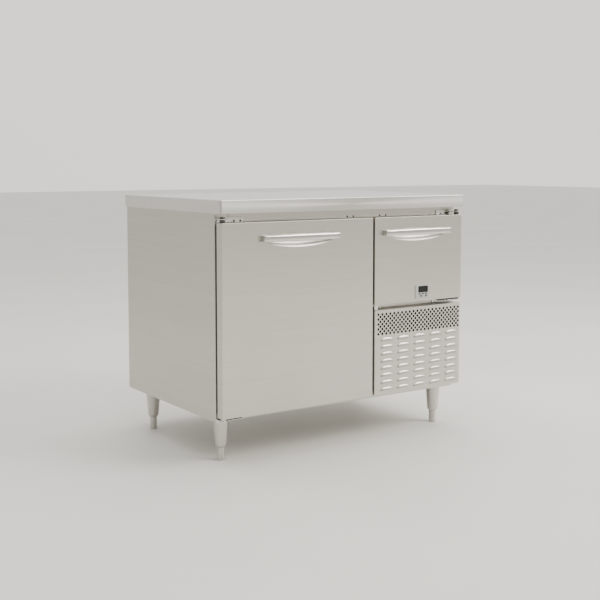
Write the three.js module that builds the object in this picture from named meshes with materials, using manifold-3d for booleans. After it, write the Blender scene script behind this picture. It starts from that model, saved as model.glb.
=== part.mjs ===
// Under counter fridge: a stainless steel cabinet on four legs, with a tall door on the left,
// a small door on the upper right and the cooling unit behind a louvred panel below it.
// Millimetres, +Z up, the front faces -Y, +X is to the right of someone who stands in front.
// The origin is on the floor, under the middle of the overall box.

import * as THREE from 'three';
import { mergeVertices } from 'three/addons/utils/BufferGeometryUtils.js';
import Module from 'manifold-3d';

const wasm = await Module();
wasm.setup();

// ---------------------------------------------------------------- driving dimensions

const overallHeight = 850;
const worktopWidth = 1020;
const worktopDepth = 700;
const worktopEdge = 43; // height of the worktop's folded edge
const sheet = 1.5; // stainless sheet
const gap = 0.3; // kept between two pieces that touch
const overlap = 1; // how far shapes reach into each other before they are joined or cut

const legHeight = 140;
const legInsetSide = 55; // leg axis from the worktop's side edge
const legInsetFront = 102;
const legInsetBack = 105;

const handleLength = 300;
const handleStandOut = 25;
const handleBelowDoorTop = 53.5; // middle of the bar
const doorSetBack = 7; // door front behind the worktop's front edge
const sideSetBack = 7; // cabinet side inside the worktop's edge
const backSetBack = 5;
const doorThickness = 30;
const gasketDepth = 14;
const gasketWidth = 15;
const gasketInset = 15; // outer edge of the gasket from the door's edge
const doorTopClearance = 29.5; // from the worktop's underside to the doors
const mainDoorBottom = 157;
const upperDoorBottom = 475;
const doorGap = 8;
const splitX = 99.5; // middle of the gap between the doors
const pivotInset = 12; // hinge pin from the door's edge

const wall = 50; // insulated wall
const railDepth = 20; // depth of the folded front frame
const mullionLeft = 62;
const mullionRight = 137;
const crossRailBottom = 455;
const upperFloor = 512; // floor of the upper compartment
const mainFloor = 192;
const cavityTop = 742;

// How finely round shapes are cut, and what the two coils and fans share.
const smallSides = 12;
const mediumSides = 16;
const potSides = 20;
const largeSides = 24;
const finThickness = 4;
const bladeCount = 5;

// ---------------------------------------------------------------- levels and planes

const worktopBottom = overallHeight - worktopEdge;
const doorTop = worktopBottom - doorTopClearance;
const overallDepth = worktopDepth - doorSetBack + handleStandOut;
const worktopFront = overallDepth / 2 - worktopDepth;
const worktopBack = overallDepth / 2;
const doorFront = worktopFront + doorSetBack;
const faceY = doorFront + doorThickness + gasketDepth; // front face of the cabinet frame
const cabinetBack = worktopBack - backSetBack;
const cavityFront = faceY + railDepth + gap;
const cavityBack = cabinetBack - wall - sheet;
const cabinetHalf = worktopWidth / 2 - sideSetBack;
const innerHalf = cabinetHalf - wall; // inner edge of the side frames
const skinHalf = cabinetHalf - sheet - gap; // what fits between the side panels
const cabinetTop = worktopBottom - gap;

// ---------------------------------------------------------------- materials

function steel(color, roughness) {
  return new THREE.MeshStandardMaterial({ color, roughness, metalness: 0.9 });
}

function plain(color, roughness) {
  return new THREE.MeshStandardMaterial({ color, roughness, metalness: 0 });
}

const brushedSteel = () => steel(0xb9b6ae, 0.38);
const polishedSteel = () => steel(0xd2d0ca, 0.22);
const linerSteel = () => steel(0xc4c3bf, 0.32);
const foam = () => plain(0xe6d9a8, 0.9);
const rubber = () => plain(0x2c2c2c, 0.75);
const blackPlastic = () => plain(0x1b1c1e, 0.45);
const greyPlastic = () => plain(0x9a9b9b, 0.5);
const glassPlastic = () => plain(0x0e1012, 0.12);
const aluminium = () => steel(0xc9cccf, 0.45);
const blackPaint = () => plain(0x202122, 0.4);
const traySteel = () => steel(0xa8a8a6, 0.5);

// ---------------------------------------------------------------- geometry helpers

function box(x0, x1, y0, y1, z0, z1) {
  const shape = new THREE.BoxGeometry(x1 - x0, y1 - y0, z1 - z0);
  return shape.translate((x0 + x1) / 2, (y0 + y1) / 2, (z0 + z1) / 2);
}

function outline(points) {
  return new THREE.Shape(points.map(([a, b]) => new THREE.Vector2(a, b)));
}

function roundedRectangle(x0, x1, y0, y1, radius) {
  const shape = new THREE.Shape();
  shape.moveTo(x0 + radius, y0);
  shape.lineTo(x1 - radius, y0);
  shape.absarc(x1 - radius, y0 + radius, radius, -Math.PI / 2, 0);
  shape.lineTo(x1, y1 - radius);
  shape.absarc(x1 - radius, y1 - radius, radius, 0, Math.PI / 2);
  shape.lineTo(x0 + radius, y1);
  shape.absarc(x0 + radius, y1 - radius, radius, Math.PI / 2, Math.PI);
  shape.lineTo(x0, y0 + radius);
  shape.absarc(x0 + radius, y0 + radius, radius, Math.PI, 1.5 * Math.PI);
  return shape;
}

// A shape drawn in (x, y), raised from z0 to z1.
function extrudeZ(shape, z0, z1, curveSegments = 4) {
  const options = { depth: z1 - z0, bevelEnabled: false, curveSegments };
  return new THREE.ExtrudeGeometry(shape, options).translate(0, 0, z0);
}

// A shape drawn in (x, z), carried from y0 to y1.
function extrudeY(shape, y0, y1, curveSegments = 4) {
  const options = { depth: y1 - y0, bevelEnabled: false, curveSegments };
  return new THREE.ExtrudeGeometry(shape, options).rotateX(Math.PI / 2).translate(0, y1, 0);
}

// A shape drawn in (y, z), carried from x0 to x1.
function extrudeX(shape, x0, x1, curveSegments = 4) {
  const options = { depth: x1 - x0, bevelEnabled: false, curveSegments };
  const turn = new THREE.Matrix4().makeBasis(
    new THREE.Vector3(0, 1, 0),
    new THREE.Vector3(0, 0, 1),
    new THREE.Vector3(1, 0, 0),
  );
  return new THREE.ExtrudeGeometry(shape, options).applyMatrix4(turn).translate(x0, 0, 0);
}

// A profile of [radius, height] pairs turned about the vertical through (x, y).
function turnedZ(profile, x, y, segments) {
  const points = profile.map(([radius, height]) => new THREE.Vector2(radius, height));
  return new THREE.LatheGeometry(points, segments).rotateX(Math.PI / 2).translate(x, y, 0);
}

// A profile of [radius, depth] pairs turned about the line along Y through (x, z).
function turnedY(profile, x, z, segments) {
  const points = profile.map(([radius, depth]) => new THREE.Vector2(radius, depth));
  return new THREE.LatheGeometry(points, segments).translate(x, 0, z);
}

function cylinderZ(radius, x, y, z0, z1, segments) {
  return turnedZ([[0, z0], [radius, z0], [radius, z1], [0, z1]], x, y, segments);
}

function cylinderY(radius, x, z, y0, y1, segments) {
  return turnedY([[0, y0], [radius, y0], [radius, y1], [0, y1]], x, z, segments);
}

function toSolid(geometry) {
  const bare = geometry.clone();
  bare.deleteAttribute('normal');
  bare.deleteAttribute('uv');
  const merged = mergeVertices(bare, 1e-4);
  return new wasm.Manifold(new wasm.Mesh({
    numProp: 3,
    vertProperties: new Float32Array(merged.attributes.position.array),
    triVerts: new Uint32Array(merged.index.array),
  }));
}

function toGeometry(solid) {
  const mesh = solid.getMesh();
  const geometry = new THREE.BufferGeometry();
  geometry.setAttribute('position', new THREE.BufferAttribute(mesh.vertProperties, 3));
  geometry.setIndex(new THREE.BufferAttribute(mesh.triVerts, 1));
  geometry.computeVertexNormals();
  return geometry;
}

function join(...shapes) {
  return toGeometry(shapes.map(toSolid).reduce((all, one) => all.add(one)));
}

function cut(shape, ...tools) {
  return toGeometry(tools.map(toSolid).reduce((all, one) => all.subtract(one), toSolid(shape)));
}

function common(...shapes) {
  return toGeometry(shapes.map(toSolid).reduce((all, one) => all.intersect(one)));
}

function addPart(parent, name, geometry, material) {
  const mesh = new THREE.Mesh(geometry, material);
  mesh.name = name;
  parent.add(mesh);
  return mesh;
}

// Channel section of thin sheet: a face at low y, and two flanges that run back from it.
// The pairs are (across, y), so the caller swaps them for a channel that lies along X.
function channel(low, high, frontY, depth) {
  return [
    [low, frontY],
    [high, frontY],
    [high, frontY + depth],
    [high - sheet, frontY + depth],
    [high - sheet, frontY + sheet],
    [low + sheet, frontY + sheet],
    [low + sheet, frontY + depth],
    [low, frontY + depth],
  ];
}

// A block with thin upright fins on its front, as in a finned coil.
function finnedBlock(x0, x1, y0, y1, z0, z1, count, fin, spine) {
  const pitch = (x1 - x0 - fin) / (count - 1);
  const points = [[x1, y1], [x0, y1]];
  for (let i = 0; i < count; i += 1) {
    const left = x0 + i * pitch;
    points.push([left, i === 0 ? y0 : y1 - spine]);
    if (i > 0) points.push([left, y0]);
    points.push([left + fin, y0]);
    if (i < count - 1) points.push([left + fin, y1 - spine]);
  }
  return extrudeZ(outline(points), z0, z1);
}

// An axial fan about a line along Y: a hub and pitched blades, one solid.
function fan(x, z, y0, depth, hubRadius, tipRadius, blades) {
  const parts = [cylinderY(hubRadius, x, z, y0, y0 + depth, smallSides)];
  const rootDepth = 4; // how far a blade starts inside the hub
  const bladeThickness = 2;
  const bladeLength = tipRadius - hubRadius + rootDepth;
  const pitchAngle = 0.5;
  const chord = tipRadius * 0.62;
  for (let i = 0; i < blades; i += 1) {
    const blade = new THREE.BoxGeometry(chord, bladeThickness, bladeLength);
    blade.rotateZ(pitchAngle);
    blade.translate(0, 0, hubRadius - rootDepth + bladeLength / 2);
    blade.rotateY((2 * Math.PI * i) / blades);
    blade.translate(x, y0 + depth / 2, z);
    parts.push(blade);
  }
  return common(join(...parts), cylinderY(tipRadius, x, z, y0, y0 + depth, potSides));
}

// ---------------------------------------------------------------- worktop

function addWorktop(parent) {
  const cornerRadius = 6;
  const half = worktopWidth / 2;
  const plan = (inset) => roundedRectangle(
    -half + inset,
    half - inset,
    worktopFront + inset,
    worktopBack - inset,
    cornerRadius - inset,
  );
  const top = extrudeZ(plan(0), worktopBottom, overallHeight);
  const hollow = extrudeZ(plan(sheet), worktopBottom - 1, overallHeight - sheet);
  addPart(parent, 'worktop', cut(top, hollow), brushedSteel());
  const core = extrudeZ(plan(sheet + gap), worktopBottom, overallHeight - sheet - gap);
  addPart(parent, 'worktop_core', core, foam());
}

// ---------------------------------------------------------------- cabinet shell and frame

// Strain relief where the power cord would leave the back panel.
const gland = {
  x: 450,
  z: 185,
  radius: 8,
  flangeRadius: 13,
  noseRadius: 10,
  rimReach: 3.5,
  noseReach: 4.7,
  inside: 14,
  sides: 16,
};

function addShell(parent) {
  // Side panels: the front edge is folded round to make the frame that the gasket seats on.
  const sideFold = [
    [-cabinetHalf, cabinetBack],
    [-cabinetHalf, faceY],
    [-innerHalf, faceY],
    [-innerHalf, faceY + railDepth],
    [-innerHalf - sheet, faceY + railDepth],
    [-innerHalf - sheet, faceY + sheet],
    [-cabinetHalf + sheet, faceY + sheet],
    [-cabinetHalf + sheet, cabinetBack],
  ];
  const mirrored = sideFold.map(([x, y]) => [-x, y]);
  const leftPanel = extrudeZ(outline(sideFold), legHeight, cabinetTop);
  addPart(parent, 'left_side_panel', leftPanel, brushedSteel());
  const rightPanel = extrudeZ(outline(mirrored), legHeight, cabinetTop);
  addPart(parent, 'right_side_panel', rightPanel, brushedSteel());

  const panelBottom = legHeight + sheet + gap;
  const backPlate = box(-skinHalf, skinHalf, cabinetBack - sheet, cabinetBack, panelBottom, cabinetTop);
  const through = [cabinetBack - 2 * sheet, cabinetBack + sheet];
  const vent = { lefts: [190, 310], width: 90, height: 8, rows: 8, lowest: 230, pitch: 24 };
  const vents = [];
  for (const left of vent.lefts) {
    for (let row = 0; row < vent.rows; row += 1) {
      const bottom = vent.lowest + row * vent.pitch;
      vents.push(box(left, left + vent.width, ...through, bottom, bottom + vent.height));
    }
  }
  const glandHole = cylinderY(gland.radius + gap, gland.x, gland.z, ...through, gland.sides);
  addPart(parent, 'back_panel', cut(backPlate, glandHole, ...vents), brushedSteel());

  const basePlate = box(-skinHalf, skinHalf, cavityFront, cabinetBack, legHeight, legHeight + sheet);
  addPart(parent, 'base_panel', basePlate, brushedSteel());
}

function addFrame(parent) {
  const across = innerHalf - gap;
  const lying = (low, high) => channel(low, high, faceY, railDepth).map(([z, y]) => [y, z]);
  const topRail = extrudeX(outline(lying(cavityTop, cabinetTop)), -across, across);
  addPart(parent, 'top_rail', topRail, brushedSteel());
  const bottomRail = extrudeX(outline(lying(legHeight, mainFloor)), -across, across);
  addPart(parent, 'bottom_rail', bottomRail, brushedSteel());
  const post = outline(channel(mullionLeft, mullionRight, faceY, railDepth));
  addPart(parent, 'mullion', extrudeZ(post, mainFloor + gap, cavityTop - gap), brushedSteel());
  const cross = outline(lying(crossRailBottom, upperFloor));
  addPart(parent, 'cross_rail', extrudeX(cross, mullionRight + gap, across), brushedSteel());
}

// ---------------------------------------------------------------- compartments

const mainCavity = { left: -innerHalf, right: mullionLeft, bottom: mainFloor, top: cavityTop };
const upperCavity = { left: mullionRight, right: innerHalf, bottom: upperFloor, top: cavityTop };
const coveRadius = 12; // rounded inner corners of the pressed liners
const ledgeReach = 14;
const ledgeHeight = 8;
const ledgeEndInset = 15;
const shelfLevels = [370, 555];
const shelfThickness = 5;

function cavityBlock(cavity, growth, y0, y1) {
  const shape = roundedRectangle(
    cavity.left - growth,
    cavity.right + growth,
    cavity.bottom - growth,
    cavity.top + growth,
    coveRadius + growth,
  );
  return extrudeY(shape, y0, y1);
}

function linerTub(cavity) {
  const outer = cavityBlock(cavity, sheet, cavityFront, cavityBack + sheet);
  return cut(outer, cavityBlock(cavity, 0, cavityFront - overlap, cavityBack));
}

function addCompartments(parent) {
  const ledges = [];
  for (const level of shelfLevels) {
    const bottom = level - ledgeHeight - gap;
    const length = [cavityFront + ledgeEndInset, cavityBack - ledgeEndInset];
    const height = [bottom, bottom + ledgeHeight];
    ledges.push(box(mainCavity.left - overlap, mainCavity.left + ledgeReach, ...length, ...height));
    ledges.push(box(mainCavity.right - ledgeReach, mainCavity.right + overlap, ...length, ...height));
  }
  addPart(parent, 'main_liner', join(linerTub(mainCavity), ...ledges), linerSteel());
  addPart(parent, 'upper_liner', linerTub(upperCavity), linerSteel());

  // The foam fills everything between the shell and the two liners, in one pour.
  const outer = outline([
    [-skinHalf, legHeight + sheet + gap],
    [mullionRight, legHeight + sheet + gap],
    [mullionRight, crossRailBottom],
    [skinHalf, crossRailBottom],
    [skinHalf, cabinetTop],
    [-skinHalf, cabinetTop],
  ]);
  const block = extrudeY(outer, cavityFront, cabinetBack - sheet - gap);
  const pockets = [mainCavity, upperCavity].map((cavity) => cavityBlock(
    cavity,
    sheet + gap,
    cavityFront - 1,
    cavityBack + sheet + gap,
  ));
  addPart(parent, 'body_insulation', cut(block, ...pockets), foam());

  shelfLevels.forEach((level, index) => {
    const name = index === 0 ? 'lower_shelf' : 'upper_shelf';
    addPart(parent, name, wireShelf(level), polishedSteel());
  });
}

// A flat grid: a rim with long slots between its wires, in two bays.
function wireShelf(level) {
  const sideClearance = 8;
  const x0 = mainCavity.left + sideClearance;
  const x1 = mainCavity.right - sideClearance;
  const endClearance = 17;
  const y0 = cavityFront + endClearance;
  const y1 = cavityBack - endClearance;
  const rim = 8;
  const wire = 4;
  const columns = 13;
  const bays = 2;
  const slotWidth = (x1 - x0 - 2 * rim - (columns - 1) * wire) / columns;
  const slotLength = (y1 - y0 - 2 * rim - (bays - 1) * wire) / bays;
  const cutHeight = [level - overlap, level + shelfThickness + overlap];
  const slots = [];
  for (let i = 0; i < columns; i += 1) {
    for (let j = 0; j < bays; j += 1) {
      const left = x0 + rim + i * (slotWidth + wire);
      const near = y0 + rim + j * (slotLength + wire);
      slots.push(box(left, left + slotWidth, near, near + slotLength, ...cutHeight));
    }
  }
  return cut(box(x0, x1, y0, y1, level, level + shelfThickness), ...slots);
}

// ---------------------------------------------------------------- louvred panel

const panel = {
  left: splitX + doorGap / 2 + 1,
  right: cabinetHalf - 3,
  bottom: 158,
  top: 456,
  holeInsetX: 16, // first hole from the panel's left edge
  holeInsetZ: 15.5,
  louvreInsetX: 26.5,
  louvreInsetZ: 104,
};

function addLouvrePanel(parent) {
  const front = doorFront;
  const holeColumns = 22;
  const holeRows = 9;
  const holePitchX = 17.62;
  const holePitchZ = 8.53;
  const holeRadius = 4.2;
  const holeSides = 4;
  const firstHoleX = panel.left + panel.holeInsetX;
  const topHoleZ = panel.top - panel.holeInsetZ;
  const through = [front - sheet, front + 2 * sheet];
  const openings = [];
  for (let row = 0; row < holeRows; row += 1) {
    const staggered = row % 2 === 1;
    const count = staggered ? holeColumns - 1 : holeColumns;
    for (let i = 0; i < count; i += 1) {
      const x = firstHoleX + (staggered ? i + 1 / 2 : i) * holePitchX;
      const z = topHoleZ - row * holePitchZ;
      openings.push(cylinderY(holeRadius, x, z, ...through, holeSides));
    }
  }

  const louvreColumns = 5;
  const louvreRows = 8;
  const louvreWidth = 58;
  const louvrePitchX = 74.5;
  const louvrePitchZ = 25.05;
  const louvreReach = 5; // how far a hood stands out
  const hoodHeight = 10;
  const mouth = 4;
  const mouthInset = 1;
  const firstLouvreX = panel.left + panel.louvreInsetX;
  const topLouvreZ = panel.top - panel.louvreInsetZ;
  const hoods = [];
  for (let row = 0; row < louvreRows; row += 1) {
    for (let column = 0; column < louvreColumns; column += 1) {
      const x0 = firstLouvreX + column * louvrePitchX;
      const x1 = x0 + louvreWidth;
      const middle = topLouvreZ - row * louvrePitchZ;
      const low = middle - hoodHeight / 2;
      openings.push(box(x0 + mouthInset, x1 - mouthInset, ...through, low, low + mouth));
      // A sloping lid over the slot, open underneath.
      const lid = outline([
        [front + sheet / 2, low + hoodHeight],
        [front - louvreReach, low],
        [front - louvreReach + sheet, low],
        [front + sheet / 2, low + hoodHeight - 2 * sheet],
      ]);
      hoods.push(extrudeX(lid, x0, x1));
    }
  }
  const blank = box(panel.left, panel.right, front, front + sheet, panel.bottom, panel.top);
  const rimFront = front + sheet / 2;
  const rimOuter = box(panel.left, panel.right, rimFront, faceY - gap, panel.bottom, panel.top);
  const rimInner = box(
    panel.left + sheet,
    panel.right - sheet,
    front - overlap,
    faceY + overlap,
    panel.bottom + sheet,
    panel.top - sheet,
  );
  const rim = cut(rimOuter, rimInner);
  addPart(parent, 'louvre_panel', join(cut(blank, ...openings), rim, ...hoods), brushedSteel());
}

// ---------------------------------------------------------------- cooling unit

const bayFloor = legHeight + sheet + gap;
const trayTop = bayFloor + 2;
const unitBottom = trayTop + gap;
const tray = {
  left: 150,
  right: 488,
  lip: 17,
  thickness: trayTop - bayFloor,
  frontInset: 35, // from the cabinet's front frame
  backInset: 25,
};
const condenser = { left: 160, right: 480, top: 404, behindFrame: 40, depth: 40, fins: 16, spine: 8 };
const shroud = { top: 408, depth: 40, thickness: 2, holeRadius: 104 };
const condenserFan = { x: 320, z: 276, depth: 22, hub: 26, tip: 98, inShroud: 10 };
const fanMotor = {
  radius: 36,
  length: 62,
  behindFan: 3,
  post: { halfWidth: 12, front: 20, back: 40, belowAxis: 20 },
  foot: { halfWidth: 40, front: 10, back: 50, thickness: 3 },
};
const compressor = { x: 335, y: 130, halfWidth: 105, halfDepth: 70, plate: 10 };
const compressorProfile = [
  [0, -1],
  [70, -1],
  [84, 10],
  [90, 28],
  [90, 88],
  [94, 90],
  [94, 97],
  [90, 99],
  [88, 150],
  [74, 178],
  [40, 194],
  [0, 198],
]; // radius and height above the mounting plate
const electricalBox = { left: 446, right: 484, front: 40, back: 190, height: 110 };
const dripPan = { left: 156, right: 222, front: 20, back: 250, height: 40, thickness: 2 };

function addTray(parent) {
  const { left, right, lip, thickness } = tray;
  const section = outline([
    [left, bayFloor + lip],
    [left, bayFloor],
    [right, bayFloor],
    [right, bayFloor + lip],
    [right - thickness, bayFloor + lip],
    [right - thickness, trayTop],
    [left + thickness, trayTop],
    [left + thickness, bayFloor + lip],
  ]);
  const body = extrudeY(section, faceY + tray.frontInset, cabinetBack - tray.backInset);
  addPart(parent, 'machine_tray', body, traySteel());
}

// Finned condenser at the front, its shroud and fan behind it.
function addCondenser(parent) {
  const { left, right } = condenser;
  const front = faceY + condenser.behindFrame;
  const back = front + condenser.depth;
  const { fins, spine } = condenser;
  const height = [unitBottom, condenser.top];
  const coil = finnedBlock(left, right, front, back, ...height, fins, finThickness, spine);
  addPart(parent, 'condenser_coil', coil, blackPaint());

  const hoodFront = back + gap;
  const hoodBack = hoodFront + shroud.depth;
  const { thickness } = shroud;
  const hood = cut(
    box(left, right, hoodFront, hoodBack, unitBottom, shroud.top),
    box(
      left + thickness,
      right - thickness,
      hoodFront - overlap,
      hoodBack - thickness,
      unitBottom + thickness,
      shroud.top - thickness,
    ),
    cylinderY(
      shroud.holeRadius,
      condenserFan.x,
      condenserFan.z,
      hoodBack - 2 * thickness,
      hoodBack + thickness,
      largeSides,
    ),
  );
  addPart(parent, 'condenser_shroud', hood, blackPaint());

  const { x, z, depth, hub, tip } = condenserFan;
  const fanFront = hoodBack - condenserFan.inShroud;
  addPart(parent, 'condenser_fan', fan(x, z, fanFront, depth, hub, tip, bladeCount), blackPlastic());

  const motorFront = fanFront + depth + fanMotor.behindFan;
  const { post, foot } = fanMotor;
  const motor = join(
    cylinderY(fanMotor.radius, x, z, motorFront, motorFront + fanMotor.length, mediumSides),
    box(
      x - post.halfWidth,
      x + post.halfWidth,
      motorFront + post.front,
      motorFront + post.back,
      unitBottom,
      z - post.belowAxis,
    ),
    box(
      x - foot.halfWidth,
      x + foot.halfWidth,
      motorFront + foot.front,
      motorFront + foot.back,
      unitBottom,
      unitBottom + foot.thickness,
    ),
  );
  addPart(parent, 'condenser_fan_motor', motor, blackPaint());
}

// Hermetic compressor: a domed pot on its mounting plate.
function addCompressor(parent) {
  const { x, y, halfWidth, halfDepth } = compressor;
  const plateTop = unitBottom + compressor.plate;
  const profile = compressorProfile.map(([radius, height]) => [radius, plateTop + height]);
  const pot = turnedZ(profile, x, y, potSides);
  const plate = box(x - halfWidth, x + halfWidth, y - halfDepth, y + halfDepth, unitBottom, plateTop);
  addPart(parent, 'compressor', join(pot, plate), blackPaint());
}

// An open box on the machine tray, in which the condensate dries off.
function addDripPan(parent) {
  const { left, right, front, back, height, thickness } = dripPan;
  const pan = cut(
    box(left, right, front, back, unitBottom, unitBottom + height),
    box(
      left + thickness,
      right - thickness,
      front + thickness,
      back - thickness,
      unitBottom + thickness,
      unitBottom + height + overlap,
    ),
  );
  addPart(parent, 'evaporation_pan', pan, blackPlastic());
}

function addCoolingUnit(parent) {
  addTray(parent);
  addCondenser(parent);
  addCompressor(parent);
  const { left, right, front, back, height } = electricalBox;
  const relayBox = box(left, right, front, back, unitBottom, unitBottom + height);
  addPart(parent, 'electrical_box', relayBox, greyPlastic());
  addDripPan(parent);

  const strainRelief = turnedY([
    [0, cabinetBack - gland.inside],
    [gland.radius, cabinetBack - gland.inside],
    [gland.radius, cabinetBack + gap],
    [gland.flangeRadius, cabinetBack + gap],
    [gland.flangeRadius, cabinetBack + gland.rimReach],
    [gland.noseRadius, cabinetBack + gland.noseReach],
    [0, cabinetBack + gland.noseReach],
  ], gland.x, gland.z, gland.sides);
  addPart(parent, 'power_cord_gland', strainRelief, blackPlastic());
}

// ---------------------------------------------------------------- evaporator

// Cover against the upper compartment's back wall; air enters round the fan and leaves below.
const cover = { inset: 8, floorGap: 6, depth: 130, holeRadius: 50 };
const outlet = { halfWidth: 110, fromBack: 60, toBack: 20 };
const evaporator = {
  sideInset: 14,
  bottomInset: 12,
  topInset: 10,
  depth: 47,
  fromBack: 1,
  fins: 14,
  spine: 8,
};
const evaporatorFan = { depth: 16, hub: 14, tip: 46, behindCover: 8 };
const evaporatorMotor = { radius: 18, front: 19, back: 55 };
const motorStrap = { front: 38, back: 42, halfHeight: 7 };

function addEvaporator(parent) {
  const x0 = upperCavity.left + cover.inset;
  const x1 = upperCavity.right - cover.inset;
  const z0 = upperCavity.bottom + cover.floorGap;
  const z1 = upperCavity.top - cover.inset;
  const front = cavityBack - cover.depth;
  const back = cavityBack - gap;
  const x = (x0 + x1) / 2;
  const z = (z0 + z1) / 2;
  const cutZ = [z0 - sheet, z0 + 2 * sheet];
  const body = cut(
    box(x0, x1, front, back, z0, z1),
    box(x0 + sheet, x1 - sheet, front + sheet, back + overlap, z0 + sheet, z1 - sheet),
    cylinderY(cover.holeRadius, x, z, front - sheet, front + 2 * sheet, potSides),
    box(
      x - outlet.halfWidth,
      x + outlet.halfWidth,
      back - outlet.fromBack,
      back - outlet.toBack,
      ...cutZ,
    ),
  );
  addPart(parent, 'evaporator_cover', body, linerSteel());

  const coilBack = back - evaporator.fromBack;
  const coil = finnedBlock(
    x0 + evaporator.sideInset,
    x1 - evaporator.sideInset,
    coilBack - evaporator.depth,
    coilBack,
    z0 + evaporator.bottomInset,
    z1 - evaporator.topInset,
    evaporator.fins,
    finThickness,
    evaporator.spine,
  );
  addPart(parent, 'evaporator_coil', coil, aluminium());

  const { depth, hub, tip } = evaporatorFan;
  const fanFront = front + evaporatorFan.behindCover;
  addPart(parent, 'evaporator_fan', fan(x, z, fanFront, depth, hub, tip, bladeCount), blackPlastic());
  const can = [fanFront + evaporatorMotor.front, fanFront + evaporatorMotor.back];
  const motor = join(
    cylinderY(evaporatorMotor.radius, x, z, ...can, smallSides),
    box(
      x0 + sheet + gap,
      x1 - sheet - gap,
      fanFront + motorStrap.front,
      fanFront + motorStrap.back,
      z - motorStrap.halfHeight,
      z + motorStrap.halfHeight,
    ),
  );
  addPart(parent, 'evaporator_fan_motor', motor, blackPaint());
}

// ---------------------------------------------------------------- hinges

const pinRadius = 4;
const pinReach = 12; // how far a pin enters the door
const armThickness = 3;
const collarRadius = 9;
const topPlateReach = { main: 92, upper: 75 }; // how far the hinge plates run from the pin
const bottomPlateReach = 90;
const pivotY = doorFront + doorThickness / 2;

// An angle bracket: an arm over or under the door's corner, and a plate on the frame.
// side is +1 where the plate runs to the right of the pin, -1 where it runs to the left.
function bracket(pivotX, side, armBottom, plateBottom, plateTop, plateReach) {
  const arm = { near: 11, nose: 6, shoulder: 12, root: 26, bevel: 8 };
  const near = pivotX - side * arm.near;
  const span = (a, b) => [Math.min(a, b), Math.max(a, b)];
  const armBack = faceY - gap;
  const plan = outline([
    [near, armBack],
    [near, pivotY - arm.nose],
    [pivotX - side * arm.nose, pivotY - arm.near],
    [pivotX + side * arm.nose, pivotY - arm.near],
    [pivotX + side * arm.shoulder, pivotY - arm.nose],
    [pivotX + side * arm.root, armBack - arm.bevel],
    [pivotX + side * arm.root, armBack],
  ]);
  return join(
    extrudeZ(plan, armBottom, armBottom + armThickness),
    box(
      ...span(near, pivotX + side * plateReach),
      faceY - gap - armThickness,
      faceY - gap,
      plateBottom,
      plateTop,
    ),
  );
}

const armAboveDoor = 10.5;
const plateAboveDoorTop = 16.5;
const plateBelowDoorTop = 5;
const pinHead = { edge: 5, crown: 6, crownRadius: 7 };

function addTopHinge(parent, name, pivotX, side, plateReach) {
  const armBottom = doorTop + armAboveDoor;
  const plateLevels = [doorTop - plateBelowDoorTop, doorTop + plateAboveDoorTop];
  const through = [armBottom - armThickness, armBottom + 2 * armThickness];
  const holed = cut(
    bracket(pivotX, side, armBottom, ...plateLevels, plateReach),
    cylinderZ(pinRadius + gap, pivotX, pivotY, ...through, smallSides),
  );
  addPart(parent, `${name}_top_bracket`, holed, polishedSteel());
  const armTop = armBottom + armThickness;
  // The pin: a shaft down into the door, a collar under the arm and a domed head above it.
  const pin = turnedZ([
    [0, doorTop - pinReach],
    [pinRadius, doorTop - pinReach],
    [pinRadius, doorTop + gap],
    [collarRadius, doorTop + gap],
    [collarRadius, armBottom - gap],
    [pinRadius, armBottom - gap],
    [pinRadius, armTop + gap],
    [collarRadius, armTop + gap],
    [pinHead.crownRadius, armTop + pinHead.edge],
    [0, armTop + pinHead.crown],
  ], pivotX, pivotY, smallSides);
  addPart(parent, `${name}_top_pin`, pin, polishedSteel());
}

const armBelowDoor = 6;
const slotSize = { near: 30, far: 84, height: 5, belowArmTop: 3 }; // lets the plate slide on its screws

function addBottomHinge(parent, name, pivotX, side, doorBottom, plateBottom) {
  const armTop = doorBottom - armBelowDoor;
  const armBottom = armTop - armThickness;
  const slotEnds = [pivotX + side * slotSize.near, pivotX + side * slotSize.far];
  const slotTop = armTop - slotSize.belowArmTop;
  const pin = turnedZ([
    [0, armTop - overlap],
    [collarRadius, armTop - overlap],
    [collarRadius, doorBottom - gap],
    [pinRadius, doorBottom - gap],
    [pinRadius, doorBottom + pinReach],
    [0, doorBottom + pinReach],
  ], pivotX, pivotY, smallSides);
  const arm = bracket(pivotX, side, armBottom, plateBottom, armTop, bottomPlateReach);
  const solid = join(arm, pin);
  const slot = box(
    Math.min(...slotEnds),
    Math.max(...slotEnds),
    faceY - 2 * armThickness,
    faceY + overlap,
    slotTop - slotSize.height,
    slotTop,
  );
  addPart(parent, `${name}_bottom_bracket`, cut(solid, slot), polishedSteel());
}

// ---------------------------------------------------------------- doors

const hatReach = 30; // how far the door's inner pan enters the opening
const hatClearance = 8;
const hatRoot = 5; // how far the pan's hollow reaches back into the door
const pinRoom = 2; // free foam round a hinge pin

// The recess behind the handle: a straight top and a bowed lower edge.
const recess = { halfWidth: 152, top: 14, shoulder: -11, depth: 20, bow: 22, facets: 8 };

function recessShape(centreX, centreZ, growth) {
  const half = recess.halfWidth + growth;
  const radius = (recess.halfWidth ** 2) / (2 * recess.bow) + recess.bow / 2 + growth;
  const lowest = centreZ + recess.shoulder - recess.bow - growth;
  const arcCentre = lowest + radius;
  const spread = Math.asin(half / radius);
  const shape = new THREE.Shape();
  shape.moveTo(centreX - half, centreZ + recess.top + growth);
  shape.lineTo(centreX - half, arcCentre - radius * Math.cos(spread));
  shape.absarc(centreX, arcCentre, radius, -Math.PI / 2 - spread, -Math.PI / 2 + spread);
  shape.lineTo(centreX + half, centreZ + recess.top + growth);
  return shape;
}

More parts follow.
